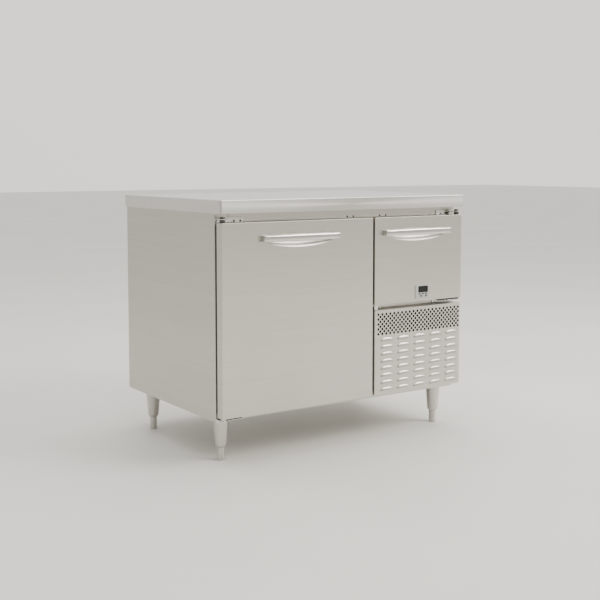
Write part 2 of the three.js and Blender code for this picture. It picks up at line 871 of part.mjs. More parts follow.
// A bowed bar: its plan, its front view and its end view, intersected.
function handleBar(centreX, centreZ) {
  const half = handleLength / 2;
  const endHalfHeight = 10;
  const middleHalfHeight = 12;
  const endStandOut = 18;
  const footLength = 14;
  const footTaper = 6;
  const barThickness = 13;
  const cornerRadius = 9;
  const cornerFacets = 6;
  const steps = 12;
  const bowed = (u, atEnd, atMiddle) => atEnd + (atMiddle - atEnd) * (1 - u * u);
  const plan = [[half, -gap], [half - footLength, -gap]];
  const inner = -handleStandOut + barThickness;
  plan.push([half - footLength - footTaper, inner], [-half + footLength + footTaper, inner]);
  plan.push([-half + footLength, -gap], [-half, -gap]);
  const frontView = [];
  for (let i = 0; i <= steps; i += 1) {
    const u = -1 + (2 * i) / steps;
    plan.push([u * half, -bowed(u, endStandOut, handleStandOut)]);
    frontView.push([u * half, -bowed(u, endHalfHeight, middleHalfHeight)]);
  }
  for (let i = steps; i >= 0; i -= 1) {
    const u = -1 + (2 * i) / steps;
    frontView.push([u * half, bowed(u, endHalfHeight, middleHalfHeight)]);
  }
  const endView = roundedRectangle(
    -handleStandOut - overlap,
    middleHalfHeight,
    -middleHalfHeight,
    middleHalfHeight,
    cornerRadius,
  );
  const bar = common(
    extrudeZ(outline(plan), -2 * middleHalfHeight, 2 * middleHalfHeight),
    extrudeY(outline(frontView), -2 * handleStandOut, handleStandOut),
    extrudeX(endView, -half - overlap, half + overlap, cornerFacets),
  );
  return bar.translate(centreX, 0, centreZ);
}

// Everything in a door's own frame: x from its left edge, y from its front, z from its bottom.
function makeDoor({ name, left, right, bottom, cavity, pivotX, handleX, panelCutout }) {
  const door = new THREE.Group();
  door.position.set(left, doorFront, bottom);
  const width = right - left;
  const height = doorTop - bottom;
  const pinX = pivotX - left;
  const pinY = doorThickness / 2;
  const handleZ = height - handleBelowDoorTop;
  const centreX = handleX - left;
  const pocketShape = (growth, front, back) => (
    extrudeY(recessShape(centreX, handleZ, growth), front, back, recess.facets)
  );
  const pocket = pocketShape(sheet, sheet / 2, recess.depth + sheet);
  const pocketHollow = pocketShape(0, -overlap, recess.depth);
  const pinHoles = (radius, reach) => [
    cylinderZ(radius, pinX, pinY, -overlap, reach, smallSides),
    cylinderZ(radius, pinX, pinY, height - reach, height + overlap, smallSides),
  ];
  const skinCut = [-overlap, 2 * sheet];
  const cutouts = panelCutout ? [box(...panelCutout(0), ...skinCut, ...panelCutout(1))] : [];

  const shell = cut(
    box(0, width, 0, doorThickness, 0, height),
    box(sheet, width - sheet, sheet, doorThickness + overlap, sheet, height - sheet),
    ...pinHoles(pinRadius + gap, 2 * sheet),
    ...cutouts,
  );
  addPart(door, `${name}_skin`, cut(join(shell, pocket), pocketHollow), brushedSteel());

  const hat = (growth, y0, y1) => box(
    cavity.left + hatClearance - growth - left,
    cavity.right - hatClearance + growth - left,
    y0,
    y1,
    cavity.bottom + hatClearance - growth - bottom,
    cavity.top - hatClearance + growth - bottom,
  );
  const rimGap = sheet + gap;
  const across = [rimGap, width - rimGap];
  const upright = [rimGap, height - rimGap];
  const flange = box(...across, doorThickness - sheet, doorThickness, ...upright);
  const liner = cut(
    join(flange, hat(0, doorThickness - overlap, doorThickness + hatReach)),
    hat(-sheet, doorThickness - hatRoot, doorThickness + hatReach - sheet),
  );
  addPart(door, `${name}_liner`, liner, linerSteel());

  const foamBlock = join(
    box(...across, rimGap, doorThickness - rimGap, ...upright),
    hat(-rimGap, doorThickness - hatRoot, doorThickness + hatReach - rimGap),
  );
  const foamCut = [-overlap, controller.foamDepth];
  const behindPanel = panelCutout ? [box(...panelCutout(2), ...foamCut, ...panelCutout(3))] : [];
  const foamBody = cut(
    foamBlock,
    pocketShape(rimGap, -overlap, recess.depth + rimGap),
    ...pinHoles(pinRadius + pinRoom, pinReach + pinRoom),
    ...behindPanel,
  );
  addPart(door, `${name}_insulation`, foamBody, foam());

  const inset = gasketInset;
  const ring = outline([
    [inset, inset],
    [width - inset, inset],
    [width - inset, height - inset],
    [inset, height - inset],
  ]);
  const inside = inset + gasketWidth;
  ring.holes.push(outline([
    [inside, inside],
    [inside, height - inside],
    [width - inside, height - inside],
    [width - inside, inside],
  ]));
  const gasket = extrudeY(ring, doorThickness + gap, doorThickness + gasketDepth - gap);
  addPart(door, `${name}_gasket`, gasket, rubber());
  addPart(door, `${name}_handle`, handleBar(centreX, handleZ), polishedSteel());
  return door;
}

const mainDoor = {
  name: 'main_door',
  left: -cabinetHalf,
  right: splitX - doorGap / 2,
  bottom: mainDoorBottom,
  cavity: mainCavity,
  pivotX: -cabinetHalf + pivotInset,
  handleX: -206,
};

const controller = {
  x: 316,
  z: 508.5,
  width: 62,
  height: 47,
  bodyInset: 4, // body behind the bezel, from the bezel's edge
  bodyDepth: 14,
  foamDepth: 18,
};

// Cut-out limits for the controller, in the upper door's own frame: even keys give the x
// limits and odd keys the z limits, first for the skin and then, larger, for the foam.
function controllerCutout(key) {
  const margin = (key < 2 ? 1 : 5) - controller.bodyInset;
  const half = (key % 2 === 0 ? controller.width : controller.height) / 2 + margin;
  const middle = key % 2 === 0 ? controller.x - upperDoor.left : controller.z - upperDoor.bottom;
  return [middle - half, middle + half];
}

const upperDoor = {
  name: 'upper_door',
  left: splitX + doorGap / 2,
  right: cabinetHalf,
  bottom: upperDoorBottom,
  cavity: upperCavity,
  pivotX: cabinetHalf - pivotInset,
  handleX: 290,
  panelCutout: controllerCutout,
};

// ---------------------------------------------------------------- controller on the upper door

const keys = [
  { x: -12, z: -7.5 },
  { x: 3, z: -7.5 },
  { x: 18, z: -7.5 },
  { x: -4.5, z: -15.5 },
  { x: 18, z: -15.5 },
];
const keyWidth = 8;
const keyHeight = 4.6;
const keyDepth = 4;
const keyProud = 0.9;
const keyFacets = 2;

function makeController() {
  const group = new THREE.Group();
  group.position.set(controller.x, doorFront, controller.z);
  const halfWidth = controller.width / 2;
  const halfHeight = controller.height / 2;
  const display = { left: -18, right: 27, bottom: -3, top: 20, depth: 1.5 };
  const plateFront = -2.3;
  const lensSetBack = 0.2;
  const keyCornerRadius = 1.2;
  const keyRoom = 2; // free depth behind a key
  const body = [controller.bodyInset - halfWidth, halfWidth - controller.bodyInset];
  const bodyLevels = [controller.bodyInset - halfHeight, halfHeight - controller.bodyInset];
  const window = [plateFront - overlap, plateFront + display.depth];
  const keyHole = ({ x, z }) => box(
    x - keyWidth / 2 - gap,
    x + keyWidth / 2 + gap,
    plateFront - overlap,
    plateFront + keyDepth + keyRoom,
    z - keyHeight / 2 - gap,
    z + keyHeight / 2 + gap,
  );
  const bezel = cut(
    join(
      box(-halfWidth, halfWidth, plateFront, -gap, -halfHeight, halfHeight),
      box(...body, -overlap, controller.bodyDepth, ...bodyLevels),
    ),
    box(display.left, display.right, ...window, display.bottom, display.top),
    ...keys.map(keyHole),
  );
  addPart(group, 'controller_bezel', bezel, greyPlastic());
  const lens = box(
    display.left + gap,
    display.right - gap,
    plateFront + lensSetBack,
    plateFront + display.depth - gap,
    display.bottom + gap,
    display.top - gap,
  );
  addPart(group, 'controller_display', lens, glassPlastic());
  keys.forEach(({ x, z }, index) => {
    const front = plateFront - keyProud;
    const cap = roundedRectangle(
      x - keyWidth / 2,
      x + keyWidth / 2,
      z - keyHeight / 2,
      z + keyHeight / 2,
      keyCornerRadius,
    );
    const key = extrudeY(cap, front, front + keyDepth, keyFacets);
    addPart(group, `controller_key_${index + 1}`, key, blackPlastic());
  });
  return group;
}

// ---------------------------------------------------------------- legs

const footRadius = 13;
const footChamfer = 1.5;
const stemRadius = 11;
const footTop = 43.5;
const stemTop = 106;
const socketTop = 112; // end of the hole that the stem screws into
const flangeRadius = 26;
const flangeThickness = 5;

function addLeg(parent, name, x, y) {
  const leg = new THREE.Group();
  leg.position.set(x, y, 0);
  parent.add(leg);
  const top = legHeight - gap;
  // The sleeve tapers down to a rounded collar just above the foot.
  const sleeve = turnedZ([
    [0, top],
    [flangeRadius, top],
    [flangeRadius, top - flangeThickness],
    [19.5, 56],
    [18.6, 50],
    [16.5, 46],
    [14, footTop + gap],
    [stemRadius + gap, footTop + gap],
    [stemRadius + gap, socketTop],
    [0, socketTop],
  ].reverse(), 0, 0, potSides);
  addPart(leg, `${name}_leg`, sleeve, brushedSteel());
  const foot = turnedZ([
    [0, 0],
    [footRadius - footChamfer, 0],
    [footRadius, footChamfer],
    [footRadius, footTop],
    [stemRadius, footTop],
    [stemRadius, stemTop],
    [0, stemTop],
  ], 0, 0, mediumSides);
  addPart(leg, `${name}_foot`, foot, brushedSteel());
}

// ---------------------------------------------------------------- assembly

const fridge = new THREE.Group();
const cabinet = new THREE.Group();
const coolingUnit = new THREE.Group();
const legs = new THREE.Group();
fridge.add(cabinet, coolingUnit, legs);

addWorktop(cabinet);
addShell(cabinet);
addFrame(cabinet);
addCompartments(cabinet);
addLouvrePanel(cabinet);
addCoolingUnit(coolingUnit);
addEvaporator(coolingUnit);

const plateAboveFloor = 1; // lower hinge plate from the bottom of the main frame
const plateAboveRail = 3; // lower hinge plate from the bottom of the cross rail
addTopHinge(cabinet, 'main_door', mainDoor.pivotX, 1, topPlateReach.main);
addBottomHinge(cabinet, 'main_door', mainDoor.pivotX, 1, mainDoorBottom, legHeight + plateAboveFloor);
addTopHinge(cabinet, 'upper_door', upperDoor.pivotX, -1, topPlateReach.upper);
addBottomHinge(
  cabinet,
  'upper_door',
  upperDoor.pivotX,
  -1,
  upperDoorBottom,
  crossRailBottom + plateAboveRail,
);

fridge.add(makeDoor(mainDoor), makeDoor(upperDoor), makeController());

const legX = worktopWidth / 2 - legInsetSide;
const frontLegY = worktopFront + legInsetFront;
const backLegY = worktopBack - legInsetBack;
addLeg(legs, 'front_left', -legX, frontLegY);
addLeg(legs, 'front_right', legX, frontLegY);
addLeg(legs, 'back_left', -legX, backLegY);
addLeg(legs, 'back_right', legX, backLegY);

export default fridge;
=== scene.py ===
# %% [markdown]
# # An under counter fridge in stainless steel
# This lesson dresses a finished mechanical model of a kitchen fridge. The mechanical model holds the
# sizes and the moving bodies. Here each piece gets its folds, rounded edges, fasteners and finish.
# Lengths are in metres, +Z is up and the doors face -Y.

# %% Load the mechanical model
import math

import bmesh
import bpy
from mathutils import Matrix, Vector


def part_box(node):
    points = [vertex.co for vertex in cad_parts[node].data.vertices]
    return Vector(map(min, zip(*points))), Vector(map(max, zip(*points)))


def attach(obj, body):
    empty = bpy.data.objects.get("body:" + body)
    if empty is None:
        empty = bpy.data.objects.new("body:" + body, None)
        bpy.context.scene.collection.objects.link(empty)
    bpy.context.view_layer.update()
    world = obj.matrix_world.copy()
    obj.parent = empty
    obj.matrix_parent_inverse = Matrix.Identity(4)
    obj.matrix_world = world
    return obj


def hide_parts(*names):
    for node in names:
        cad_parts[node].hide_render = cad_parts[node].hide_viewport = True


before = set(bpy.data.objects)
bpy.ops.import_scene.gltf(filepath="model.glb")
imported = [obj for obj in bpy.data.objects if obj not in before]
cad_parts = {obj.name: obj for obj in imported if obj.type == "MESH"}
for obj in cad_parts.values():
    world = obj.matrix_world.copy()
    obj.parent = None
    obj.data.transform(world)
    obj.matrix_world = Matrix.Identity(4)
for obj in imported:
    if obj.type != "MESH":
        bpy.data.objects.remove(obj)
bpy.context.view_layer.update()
MM = 0.001


# %% [markdown]
# ## Placing a piece
# Every new piece follows one body of the mechanical model and may stand for some of the plain solids.
# One helper says both, so neither is forgotten, and prints the piece's name and number of faces.

# %% Place a piece
def place(piece, body, slot, *replaced):
    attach(piece, body)
    if replaced:
        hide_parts(*replaced)
    print(f"{piece.name}: {len(piece.data.polygons)} faces, rides on {body}")
    return piece


def millimetre_box(node):
    low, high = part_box(node)
    return [v / MM for v in low], [v / MM for v in high]


print("main door skin, mm:", millimetre_box("main_door_skin"))

# %% [markdown]
# ## Brushed grain
# Kitchen steel is ground with a belt, which leaves fine parallel scratches. They could be drawn as a
# picture, but a stretched noise follows any size of panel. The group gives a tone, a roughness and a
# height, and each material decides how strongly it uses them. Stretch says how much finer the noise
# is on each axis, so a large number lies across the scratches.


# %% Build the grain group
def shader_group(name, inputs, outputs):
    group = bpy.data.node_groups.new(name, "ShaderNodeTree")
    for label, kind, value in inputs:
        socket = group.interface.new_socket(label, in_out="INPUT", socket_type=kind)
        if value is not None:
            socket.default_value = value
    for label, kind in outputs:
        group.interface.new_socket(label, in_out="OUTPUT", socket_type=kind)
    start = group.nodes.new("NodeGroupInput")
    end = group.nodes.new("NodeGroupOutput")
    return group, start, end


def math_node(tree, operation, first, second, clamp=False):
    node = tree.nodes.new("ShaderNodeMath")
    node.operation = operation
    node.use_clamp = clamp
    for socket, value in zip(node.inputs, (first, second)):
        if isinstance(value, (int, float)):
            socket.default_value = value
        else:
            tree.links.new(value, socket)
    return node.outputs[0]


def noise(tree, vector, scale, detail=3.0, roughness=0.5):
    node = tree.nodes.new("ShaderNodeTexNoise")
    node.inputs["Detail"].default_value = detail
    node.inputs["Roughness"].default_value = roughness
    if isinstance(scale, (int, float)):
        node.inputs["Scale"].default_value = scale
    else:
        tree.links.new(scale, node.inputs["Scale"])
    tree.links.new(vector, node.inputs["Vector"])
    return node.outputs["Fac"]


def span(tree, value, low, high, new_low, new_high):
    node = tree.nodes.new("ShaderNodeMapRange")
    tree.links.new(value, node.inputs["Value"])
    for label, number in (("From Min", low), ("From Max", high), ("To Min", new_low), ("To Max", new_high)):
        node.inputs[label].default_value = number
    return node.outputs["Result"]


def build_grain():
    group, start, end = shader_group(
        "belt grain",
        [("Vector", "NodeSocketVector", None), ("Stretch", "NodeSocketVector", (6.0, 6.0, 700.0)),
         ("Roughness", "NodeSocketFloat", 0.34), ("Variation", "NodeSocketFloat", 0.06)],
        [("Tone", "NodeSocketFloat"), ("Roughness", "NodeSocketFloat"), ("Height", "NodeSocketFloat")],
    )
    stretched = group.nodes.new("ShaderNodeVectorMath")
    stretched.operation = "MULTIPLY"
    group.links.new(start.outputs["Vector"], stretched.inputs[0])
    group.links.new(start.outputs["Stretch"], stretched.inputs[1])
    fine = noise(group, stretched.outputs[0], 1.0, 4.0, 0.62)
    broad = noise(group, stretched.outputs[0], 0.16, 3.0, 0.5)
    scratches = math_node(group, "ADD", math_node(group, "MULTIPLY", fine, 0.7),
                          math_node(group, "MULTIPLY", broad, 0.3))
    swing = span(group, scratches, 0.3, 0.7, -1.0, 1.0)
    swing = math_node(group, "MULTIPLY", swing, start.outputs["Variation"])
    group.links.new(math_node(group, "ADD", swing, 1.0), end.inputs["Tone"])
    group.links.new(math_node(group, "SUBTRACT", start.outputs["Roughness"], swing), end.inputs["Roughness"])
    group.links.new(scratches, end.inputs["Height"])
    return group


GRAIN = build_grain()
print("grain group sockets:", [s.name for s in GRAIN.interface.items_tree])

# %% [markdown]
# ## Handling marks
# Steel that is wiped every day carries faint cloudy smears, and its sheet is never perfectly flat. A
# second group gives a soft smear mask and a slow ripple, for the light to bend a little in.


# %% Build the handling group
def build_handling():
    group, start, end = shader_group(
        "wiped surface",
        [("Vector", "NodeSocketVector", None), ("Smear Scale", "NodeSocketFloat", 5.0),
         ("Amount", "NodeSocketFloat", 0.5)],
        [("Smear", "NodeSocketFloat"), ("Ripple", "NodeSocketFloat")],
    )
    cloud = noise(group, start.outputs["Vector"], start.outputs["Smear Scale"], 5.0, 0.6)
    mask = span(group, cloud, 0.45, 0.75, 0.0, 1.0)
    group.links.new(math_node(group, "MULTIPLY", mask, start.outputs["Amount"]), end.inputs["Smear"])
    ripple = noise(group, start.outputs["Vector"], 2.4, 1.0, 0.3)
    group.links.new(ripple, end.inputs["Ripple"])
    return group


HANDLING = build_handling()
print("handling group sockets:", [s.name for s in HANDLING.interface.items_tree])

# %% [markdown]
# ## The steels
# All the steels share one recipe: the base metal, the grain, the smears and a slight bump. They differ in
# colour, in how rough they are and in the direction of the scratches. The stretch of light along the
# scratches comes from the shader's own anisotropy, with its direction from a tangent node.

# %% Write the shared material steps
def new_material(name):
    material = bpy.data.materials.new(name)
    material.use_nodes = True
    tree = material.node_tree
    shader = tree.nodes["Principled BSDF"]
    where = tree.nodes.new("ShaderNodeTexCoord").outputs["Object"]
    return material, tree, shader, where


def bump(tree, shader, height, strength, distance, normal=None):
    node = tree.nodes.new("ShaderNodeBump")
    node.inputs["Strength"].default_value = strength
    node.inputs["Distance"].default_value = distance
    tree.links.new(height, node.inputs["Height"])
    if normal is not None:
        tree.links.new(normal, node.inputs["Normal"])
    tree.links.new(node.outputs["Normal"], shader.inputs["Normal"])
    return node.outputs["Normal"]


def tinted(tree, shader, color, tone):
    node = tree.nodes.new("ShaderNodeMix")
    node.data_type = "RGBA"
    node.blend_type = "MULTIPLY"
    node.inputs["Factor"].default_value = 1.0
    node.inputs["A"].default_value = (*color, 1.0)
    combine = tree.nodes.new("ShaderNodeCombineColor")
    for label in ("Red", "Green", "Blue"):
        tree.links.new(tone, combine.inputs[label])
    tree.links.new(combine.outputs["Color"], node.inputs["B"])
    tree.links.new(node.outputs["Result"], shader.inputs["Base Color"])


print("steps for every material: new, bump and tint")


# %% Make the steels
RIPPLE_STRENGTH, RIPPLE_HEIGHT = 0.05, 0.004
SCRATCH_HEIGHT = 0.0002
SMEAR_DULLING = 0.05


def steel(name, color, roughness, stretch, variation=0.05, anisotropy=0.55, smear=0.5, bump_strength=0.12,
          tangent_axis="Z"):
    """Belt-ground steel; stretch is large across the scratches."""
    material, tree, shader, where = new_material(name)
    shader.inputs["Metallic"].default_value = 1.0
    shader.inputs["Anisotropic"].default_value = anisotropy
    grain = tree.nodes.new("ShaderNodeGroup")
    grain.node_tree = GRAIN
    grain.inputs["Stretch"].default_value = stretch
    grain.inputs["Roughness"].default_value = roughness
    grain.inputs["Variation"].default_value = variation
    tree.links.new(where, grain.inputs["Vector"])
    handling = tree.nodes.new("ShaderNodeGroup")
    handling.node_tree = HANDLING
    handling.inputs["Amount"].default_value = smear
    tree.links.new(where, handling.inputs["Vector"])
    dulled = math_node(tree, "MULTIPLY", handling.outputs["Smear"], SMEAR_DULLING)
    tone = math_node(tree, "SUBTRACT", grain.outputs["Tone"], math_node(tree, "MULTIPLY", dulled, 0.6))
    tinted(tree, shader, color, tone)
    rough = math_node(tree, "ADD", grain.outputs["Roughness"], dulled, clamp=True)
    tree.links.new(rough, shader.inputs["Roughness"])
    rippled = tree.nodes.new("ShaderNodeBump")
    rippled.inputs["Strength"].default_value = RIPPLE_STRENGTH
    rippled.inputs["Distance"].default_value = RIPPLE_HEIGHT
    tree.links.new(handling.outputs["Ripple"], rippled.inputs["Height"])
    bump(tree, shader, grain.outputs["Height"], bump_strength, SCRATCH_HEIGHT, rippled.outputs["Normal"])
    tangent = tree.nodes.new("ShaderNodeTangent")
    tangent.direction_type = "RADIAL"
    tangent.axis = tangent_axis
    tree.links.new(tangent.outputs["Tangent"], shader.inputs["Tangent"])
    return material


WARM_STEEL = (0.60, 0.58, 0.535)
ALONG_WIDTH = (5.0, 5.0, 760.0)
door_steel = steel("brushed steel, level grain", WARM_STEEL, 0.36, ALONG_WIDTH)
upright_steel = steel("brushed steel, upright grain", WARM_STEEL, 0.38, (620.0, 620.0, 5.0), anisotropy=0.3)
top_steel = steel("brushed steel, worktop", (0.66, 0.645, 0.61), 0.38, (5.0, 700.0, 700.0), smear=0.9,
                  tangent_axis="Y")
handle_steel = steel("polished steel", (0.62, 0.61, 0.58), 0.17, (14.0, 420.0, 420.0), 0.025, 0.2, 0.2, 0.03)
# Paler than the door's steel: the colour paints the bright highlight on the recess's lower slope.
recess_highlight_steel = steel("pressed recess steel", (0.82, 0.805, 0.77), 0.34, ALONG_WIDTH, 0.03, 0.4, 0.3, 0.06)
dark_steel = steel("blackened steel", (0.10, 0.098, 0.095), 0.34, (200.0, 200.0, 200.0), 0.1, 0.0, 0.3, 0.05)
fitting_steel = steel("fitting steel", (0.66, 0.65, 0.63), 0.26, (180.0, 180.0, 180.0), 0.05, 0.0, 0.4, 0.05)
wire_steel = steel("shelf wire", (0.72, 0.715, 0.70), 0.22, (300.0, 300.0, 300.0), 0.04, 0.0, 0.2, 0.03)
liner_steel = steel("lining steel", (0.68, 0.68, 0.665), 0.33, (5.0, 5.0, 500.0), 0.035, 0.2, 0.4, 0.06)
turned_steel = steel("turned steel", (0.60, 0.585, 0.55), 0.34, (60.0, 60.0, 1500.0), 0.05, 0.3, 0.4, 0.08)
print("steels:", len([m for m in bpy.data.materials if "steel" in m.name]))

# %% [markdown]
# ## The other finishes
# The door seals are soft rubber, the fans and the pan are moulded plastic, the machine parts are
# painted or galvanised, and the coils are thin aluminium with copper tubes. Each of them has its own
# grain: a fine speckle, an orange-peel paint, crystals of zinc or a rolled sheet.


# %% Make the other finishes
SPECKLE_HEIGHT = 0.0003
ZINC_CRYSTALS = 70.0


def mottled(name, color, roughness, scale, tone=0.12, bump_strength=0.2, metallic=0.0):
    """A finish with a fine speckle and a broad, faint change of tone."""
    material, tree, shader, where = new_material(name)
    shader.inputs["Metallic"].default_value = metallic
    fine = noise(tree, where, scale, 4.0, 0.55)
    broad = noise(tree, where, scale * 0.04, 3.0, 0.5)
    both = math_node(tree, "MULTIPLY", math_node(tree, "ADD", fine, broad), 0.5)
    tinted(tree, shader, color, span(tree, both, 0.35, 0.65, 1.0 - tone, 1.0 + tone))
    rough = span(tree, broad, 0.3, 0.7, roughness - 0.06, roughness + 0.06)
    tree.links.new(rough, shader.inputs["Roughness"])
    bump(tree, shader, fine, bump_strength, SPECKLE_HEIGHT)
    return material


def spangled(name, color, roughness):
    material, tree, shader, where = new_material(name)
    shader.inputs["Metallic"].default_value = 1.0
    crystals = tree.nodes.new("ShaderNodeTexVoronoi")
    crystals.inputs["Scale"].default_value = ZINC_CRYSTALS
    tree.links.new(where, crystals.inputs["Vector"])
    grey = tree.nodes.new("ShaderNodeSeparateColor")
    tree.links.new(crystals.outputs["Color"], grey.inputs["Color"])
    tinted(tree, shader, color, span(tree, grey.outputs["Red"], 0.0, 1.0, 0.82, 1.08))
    rough = span(tree, grey.outputs["Green"], 0.0, 1.0, roughness - 0.1, roughness + 0.1)
    tree.links.new(rough, shader.inputs["Roughness"])
    bump(tree, shader, grey.outputs["Blue"], 0.1, 0.0002)
    return material


seal_rubber = mottled("seal rubber", (0.028, 0.028, 0.029), 0.62, 900.0)
black_plastic = mottled("black moulded plastic", (0.022, 0.022, 0.024), 0.42, 1400.0)
grey_plastic = mottled("grey moulded plastic", (0.44, 0.44, 0.43), 0.44, 1600.0, 0.04, 0.08)
key_rubber = mottled("dark key rubber", (0.02, 0.02, 0.021), 0.55, 1500.0, 0.05, 0.1)
lens_plastic = mottled("dark window", (0.005, 0.0055, 0.006), 0.3, 30.0, 0.1, 0.01)
lens_plastic.node_tree.nodes["Principled BSDF"].inputs["Specular IOR Level"].default_value = 0.25
black_paint = mottled("satin black paint", (0.018, 0.018, 0.02), 0.38, 700.0, 0.15, 0.25)
fin_aluminium = mottled("fin aluminium", (0.74, 0.75, 0.76), 0.4, 500.0, 0.08, 0.1, 1.0)
copper = mottled("copper tube", (0.72, 0.40, 0.26), 0.3, 240.0, 0.14, 0.08, 1.0)
# Near-black foam for the sheet behind the round holes: painted shade for the dark inside of the bay.
hole_shade_foam = mottled("dark filter foam", (0.006, 0.006, 0.0065), 0.95, 1800.0, 0.3, 0.6)
foam_finish = mottled("rigid foam", (0.80, 0.70, 0.42), 0.85, 500.0, 0.1, 0.5)
zinc = spangled("galvanised sheet", (0.58, 0.59, 0.60), 0.42)
print("finishes so far:", len(bpy.data.materials))


# %% [markdown]
# ## Rounding and flat faces
# Nothing in sheet metal has a razor edge: each edge catches a thin line of light. A Bevel modifier
# rounds the edges, and a Weighted Normal modifier then keeps the large faces flat. Both are baked into
# the mesh, so that the piece ends as a plain mesh.

# %% Finish a mesh
ROUNDED_FROM = math.radians(30.0)


def finished(piece, bevel=0.0, segments=2, angle=32.0):
    """Rounds the edges if asked to, keeps edges over angle degrees sharp, and bakes the result."""
    mesh = piece.data
    mesh.shade_smooth()
    mesh.set_sharp_from_angle(angle=math.radians(angle))
    if bevel:
        rounding = piece.modifiers.new("rounding", "BEVEL")
        rounding.width = bevel
        rounding.segments = segments
        rounding.limit_method = "ANGLE"
        rounding.angle_limit = ROUNDED_FROM
        rounding.miter_outer = "MITER_ARC"
        rounding.use_clamp_overlap = True
    flats = piece.modifiers.new("flats", "WEIGHTED_NORMAL")
    flats.keep_sharp = not bevel
    baked_mesh(piece)
    return piece


def baked_mesh(piece):
    bpy.context.view_layer.update()
    depsgraph = bpy.context.evaluated_depsgraph_get()
    shape = piece.evaluated_get(depsgraph)
    mesh = bpy.data.meshes.new_from_object(shape, preserve_all_data_layers=True, depsgraph=depsgraph)
    mesh.name = piece.name
    finishes = list(piece.data.materials)
    piece.modifiers.clear()
    piece.data = mesh
    for finish in finishes if not mesh.materials else ():
        mesh.materials.append(finish)


def from_bmesh(name, shape, material, recalculate=True):
    if recalculate:
        bmesh.ops.recalc_face_normals(shape, faces=shape.faces)
    mesh = bpy.data.meshes.new(name)
    shape.to_mesh(mesh)
    shape.free()
    mesh.materials.append(material)
    piece = bpy.data.objects.new(name, mesh)
    bpy.context.scene.collection.objects.link(piece)
    return piece


def softened(name, node, material, bevel=0.5 * MM, segments=2):
    """A copy of a plain solid with its edges rounded."""
    shape = bmesh.new()
    shape.from_mesh(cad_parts[node].data)
    bmesh.ops.remove_doubles(shape, verts=shape.verts, dist=1e-6)
    bmesh.ops.dissolve_limit(shape, angle_limit=math.radians(1.0), verts=shape.verts, edges=shape.edges)
    return finished(from_bmesh(name, shape, material), bevel, segments)


print("edges are rounded where faces meet at more than", round(math.degrees(ROUNDED_FROM)), "degrees")

# %% [markdown]
# ## Folded sheet
# Most of the cabinet is sheet folded on a press brake. A section is drawn as a line of corners, each
# corner becomes an arc, and the line is given a thickness on one side. Pushed along an axis, it is a
# panel with true bend radii. This is quicker and cleaner than bevelling a box.

# %% Fold a sheet
def rounded_line(points, radius, steps=5):
    """Points and left-hand normals along a line whose corners are arcs of this outer radius."""
    places, normals = [], []
    for i, point in enumerate(points):
        here = Vector(point)
        before = (here - Vector(points[i - 1])).normalized() if i else None
        after = (Vector(points[i + 1]) - here).normalized() if i + 1 < len(points) else None
        if before is None or after is None:
            along = after or before
            places.append(here)
            normals.append(Vector((-along.y, along.x)))
            continue
        turn = before.angle_signed(after)
        reach = radius * math.tan(abs(turn) / 2)
        middle = math.copysign(1, -turn)
        centre = here - before * reach + Vector((-before.y, before.x)) * radius * middle
        for step in range(steps + 1):
            swung = Matrix.Rotation(-turn * step / steps, 2) @ Vector((-before.y, before.x))
            places.append(centre - swung * radius * middle)
            normals.append(swung)
    return places, normals


def folded_loop(points, thickness, radius=2.4):
    """A closed outline of sheet, with its thickness on the left of the line."""
    places, normals = rounded_line(points, radius)
    inner = [p + n * thickness for p, n in zip(places, normals)]
    return [tuple(p) for p in places] + [tuple(p) for p in reversed(inner)]


def extruded(name, loop, low, high, axes, material, bevel=0.0, segments=2):
    """A closed outline in two axes, pushed along the third from low to high, in millimetres.

    The outline is a strip: its first half runs out and its second half runs back, so that each end is
    covered by the quads between the two halves.
    """
    shape = bmesh.new()
    along = ({0, 1, 2} - set(axes)).pop()
    rings = []
    for level in (low, high):
        ring = []
        for a, b in loop:
            corner = [0.0, 0.0, 0.0]
            corner[axes[0]] = a * MM
            corner[axes[1]] = b * MM
            corner[along] = level * MM
            ring.append(shape.verts.new(corner))
        rings.append(ring)
    count = len(loop)
    for i in range(count):
        j = (i + 1) % count
        shape.faces.new((rings[0][i], rings[0][j], rings[1][j], rings[1][i]))
    for ring in rings:
        for i in range(count // 2 - 1):
            shape.faces.new((ring[i], ring[i + 1], ring[count - 2 - i], ring[count - 1 - i]))
    return finished(from_bmesh(name, shape, material), bevel, segments)


X_Y, X_Z, Y_Z = (0, 1), (0, 2), (1, 2)
print("points round one folded corner:", len(folded_loop([(0, 0), (20, 0), (20, 20)], 1.5)))

# %% [markdown]
# ## Worktop
# The top is one sheet with its four edges folded down over a stiff core, and the corners welded and
# ground round. Its outline is a rounded rectangle, and its rim turns over in a small radius. A stack
# of such outlines, each a little larger and lower, follows that bend exactly.


# %% Make the worktop
def rounded_rectangle(x0, x1, y0, y1, radius, steps=6):
    corners = [(x1 - radius, y0 + radius, -90), (x1 - radius, y1 - radius, 0),
               (x0 + radius, y1 - radius, 90), (x0 + radius, y0 + radius, 180)]
    loop = []
    for cx, cy, start in corners:
        for step in range(steps + 1):
            turn = math.radians(start + 90 * step / steps)
            loop.append((cx + radius * math.cos(turn), cy + radius * math.sin(turn)))
    return loop


def stacked(name, rings, material, closed=True, angle=32.0):
    """Joins equal rings of points, in millimetres, one to the next.

    closed is True where the first and last ring get a cap, or "loop" where the last joins the first.
    """
    shape = bmesh.new()
    levels = [[shape.verts.new(Vector(p) * MM) for p in ring] for ring in rings]
    pairs = list(zip(levels, levels[1:]))
    if closed == "loop":
        pairs.append((levels[-1], levels[0]))
    for lower, upper in pairs:
        count = len(lower)
        for i in range(count):
            j = (i + 1) % count
            shape.faces.new((lower[i], lower[j], upper[j], upper[i]))
    if closed is True:
        shape.faces.new(levels[0])
        shape.faces.new(levels[-1])
    bmesh.ops.remove_doubles(shape, verts=shape.verts, dist=1e-7)
    return finished(from_bmesh(name, shape, material), angle=angle)


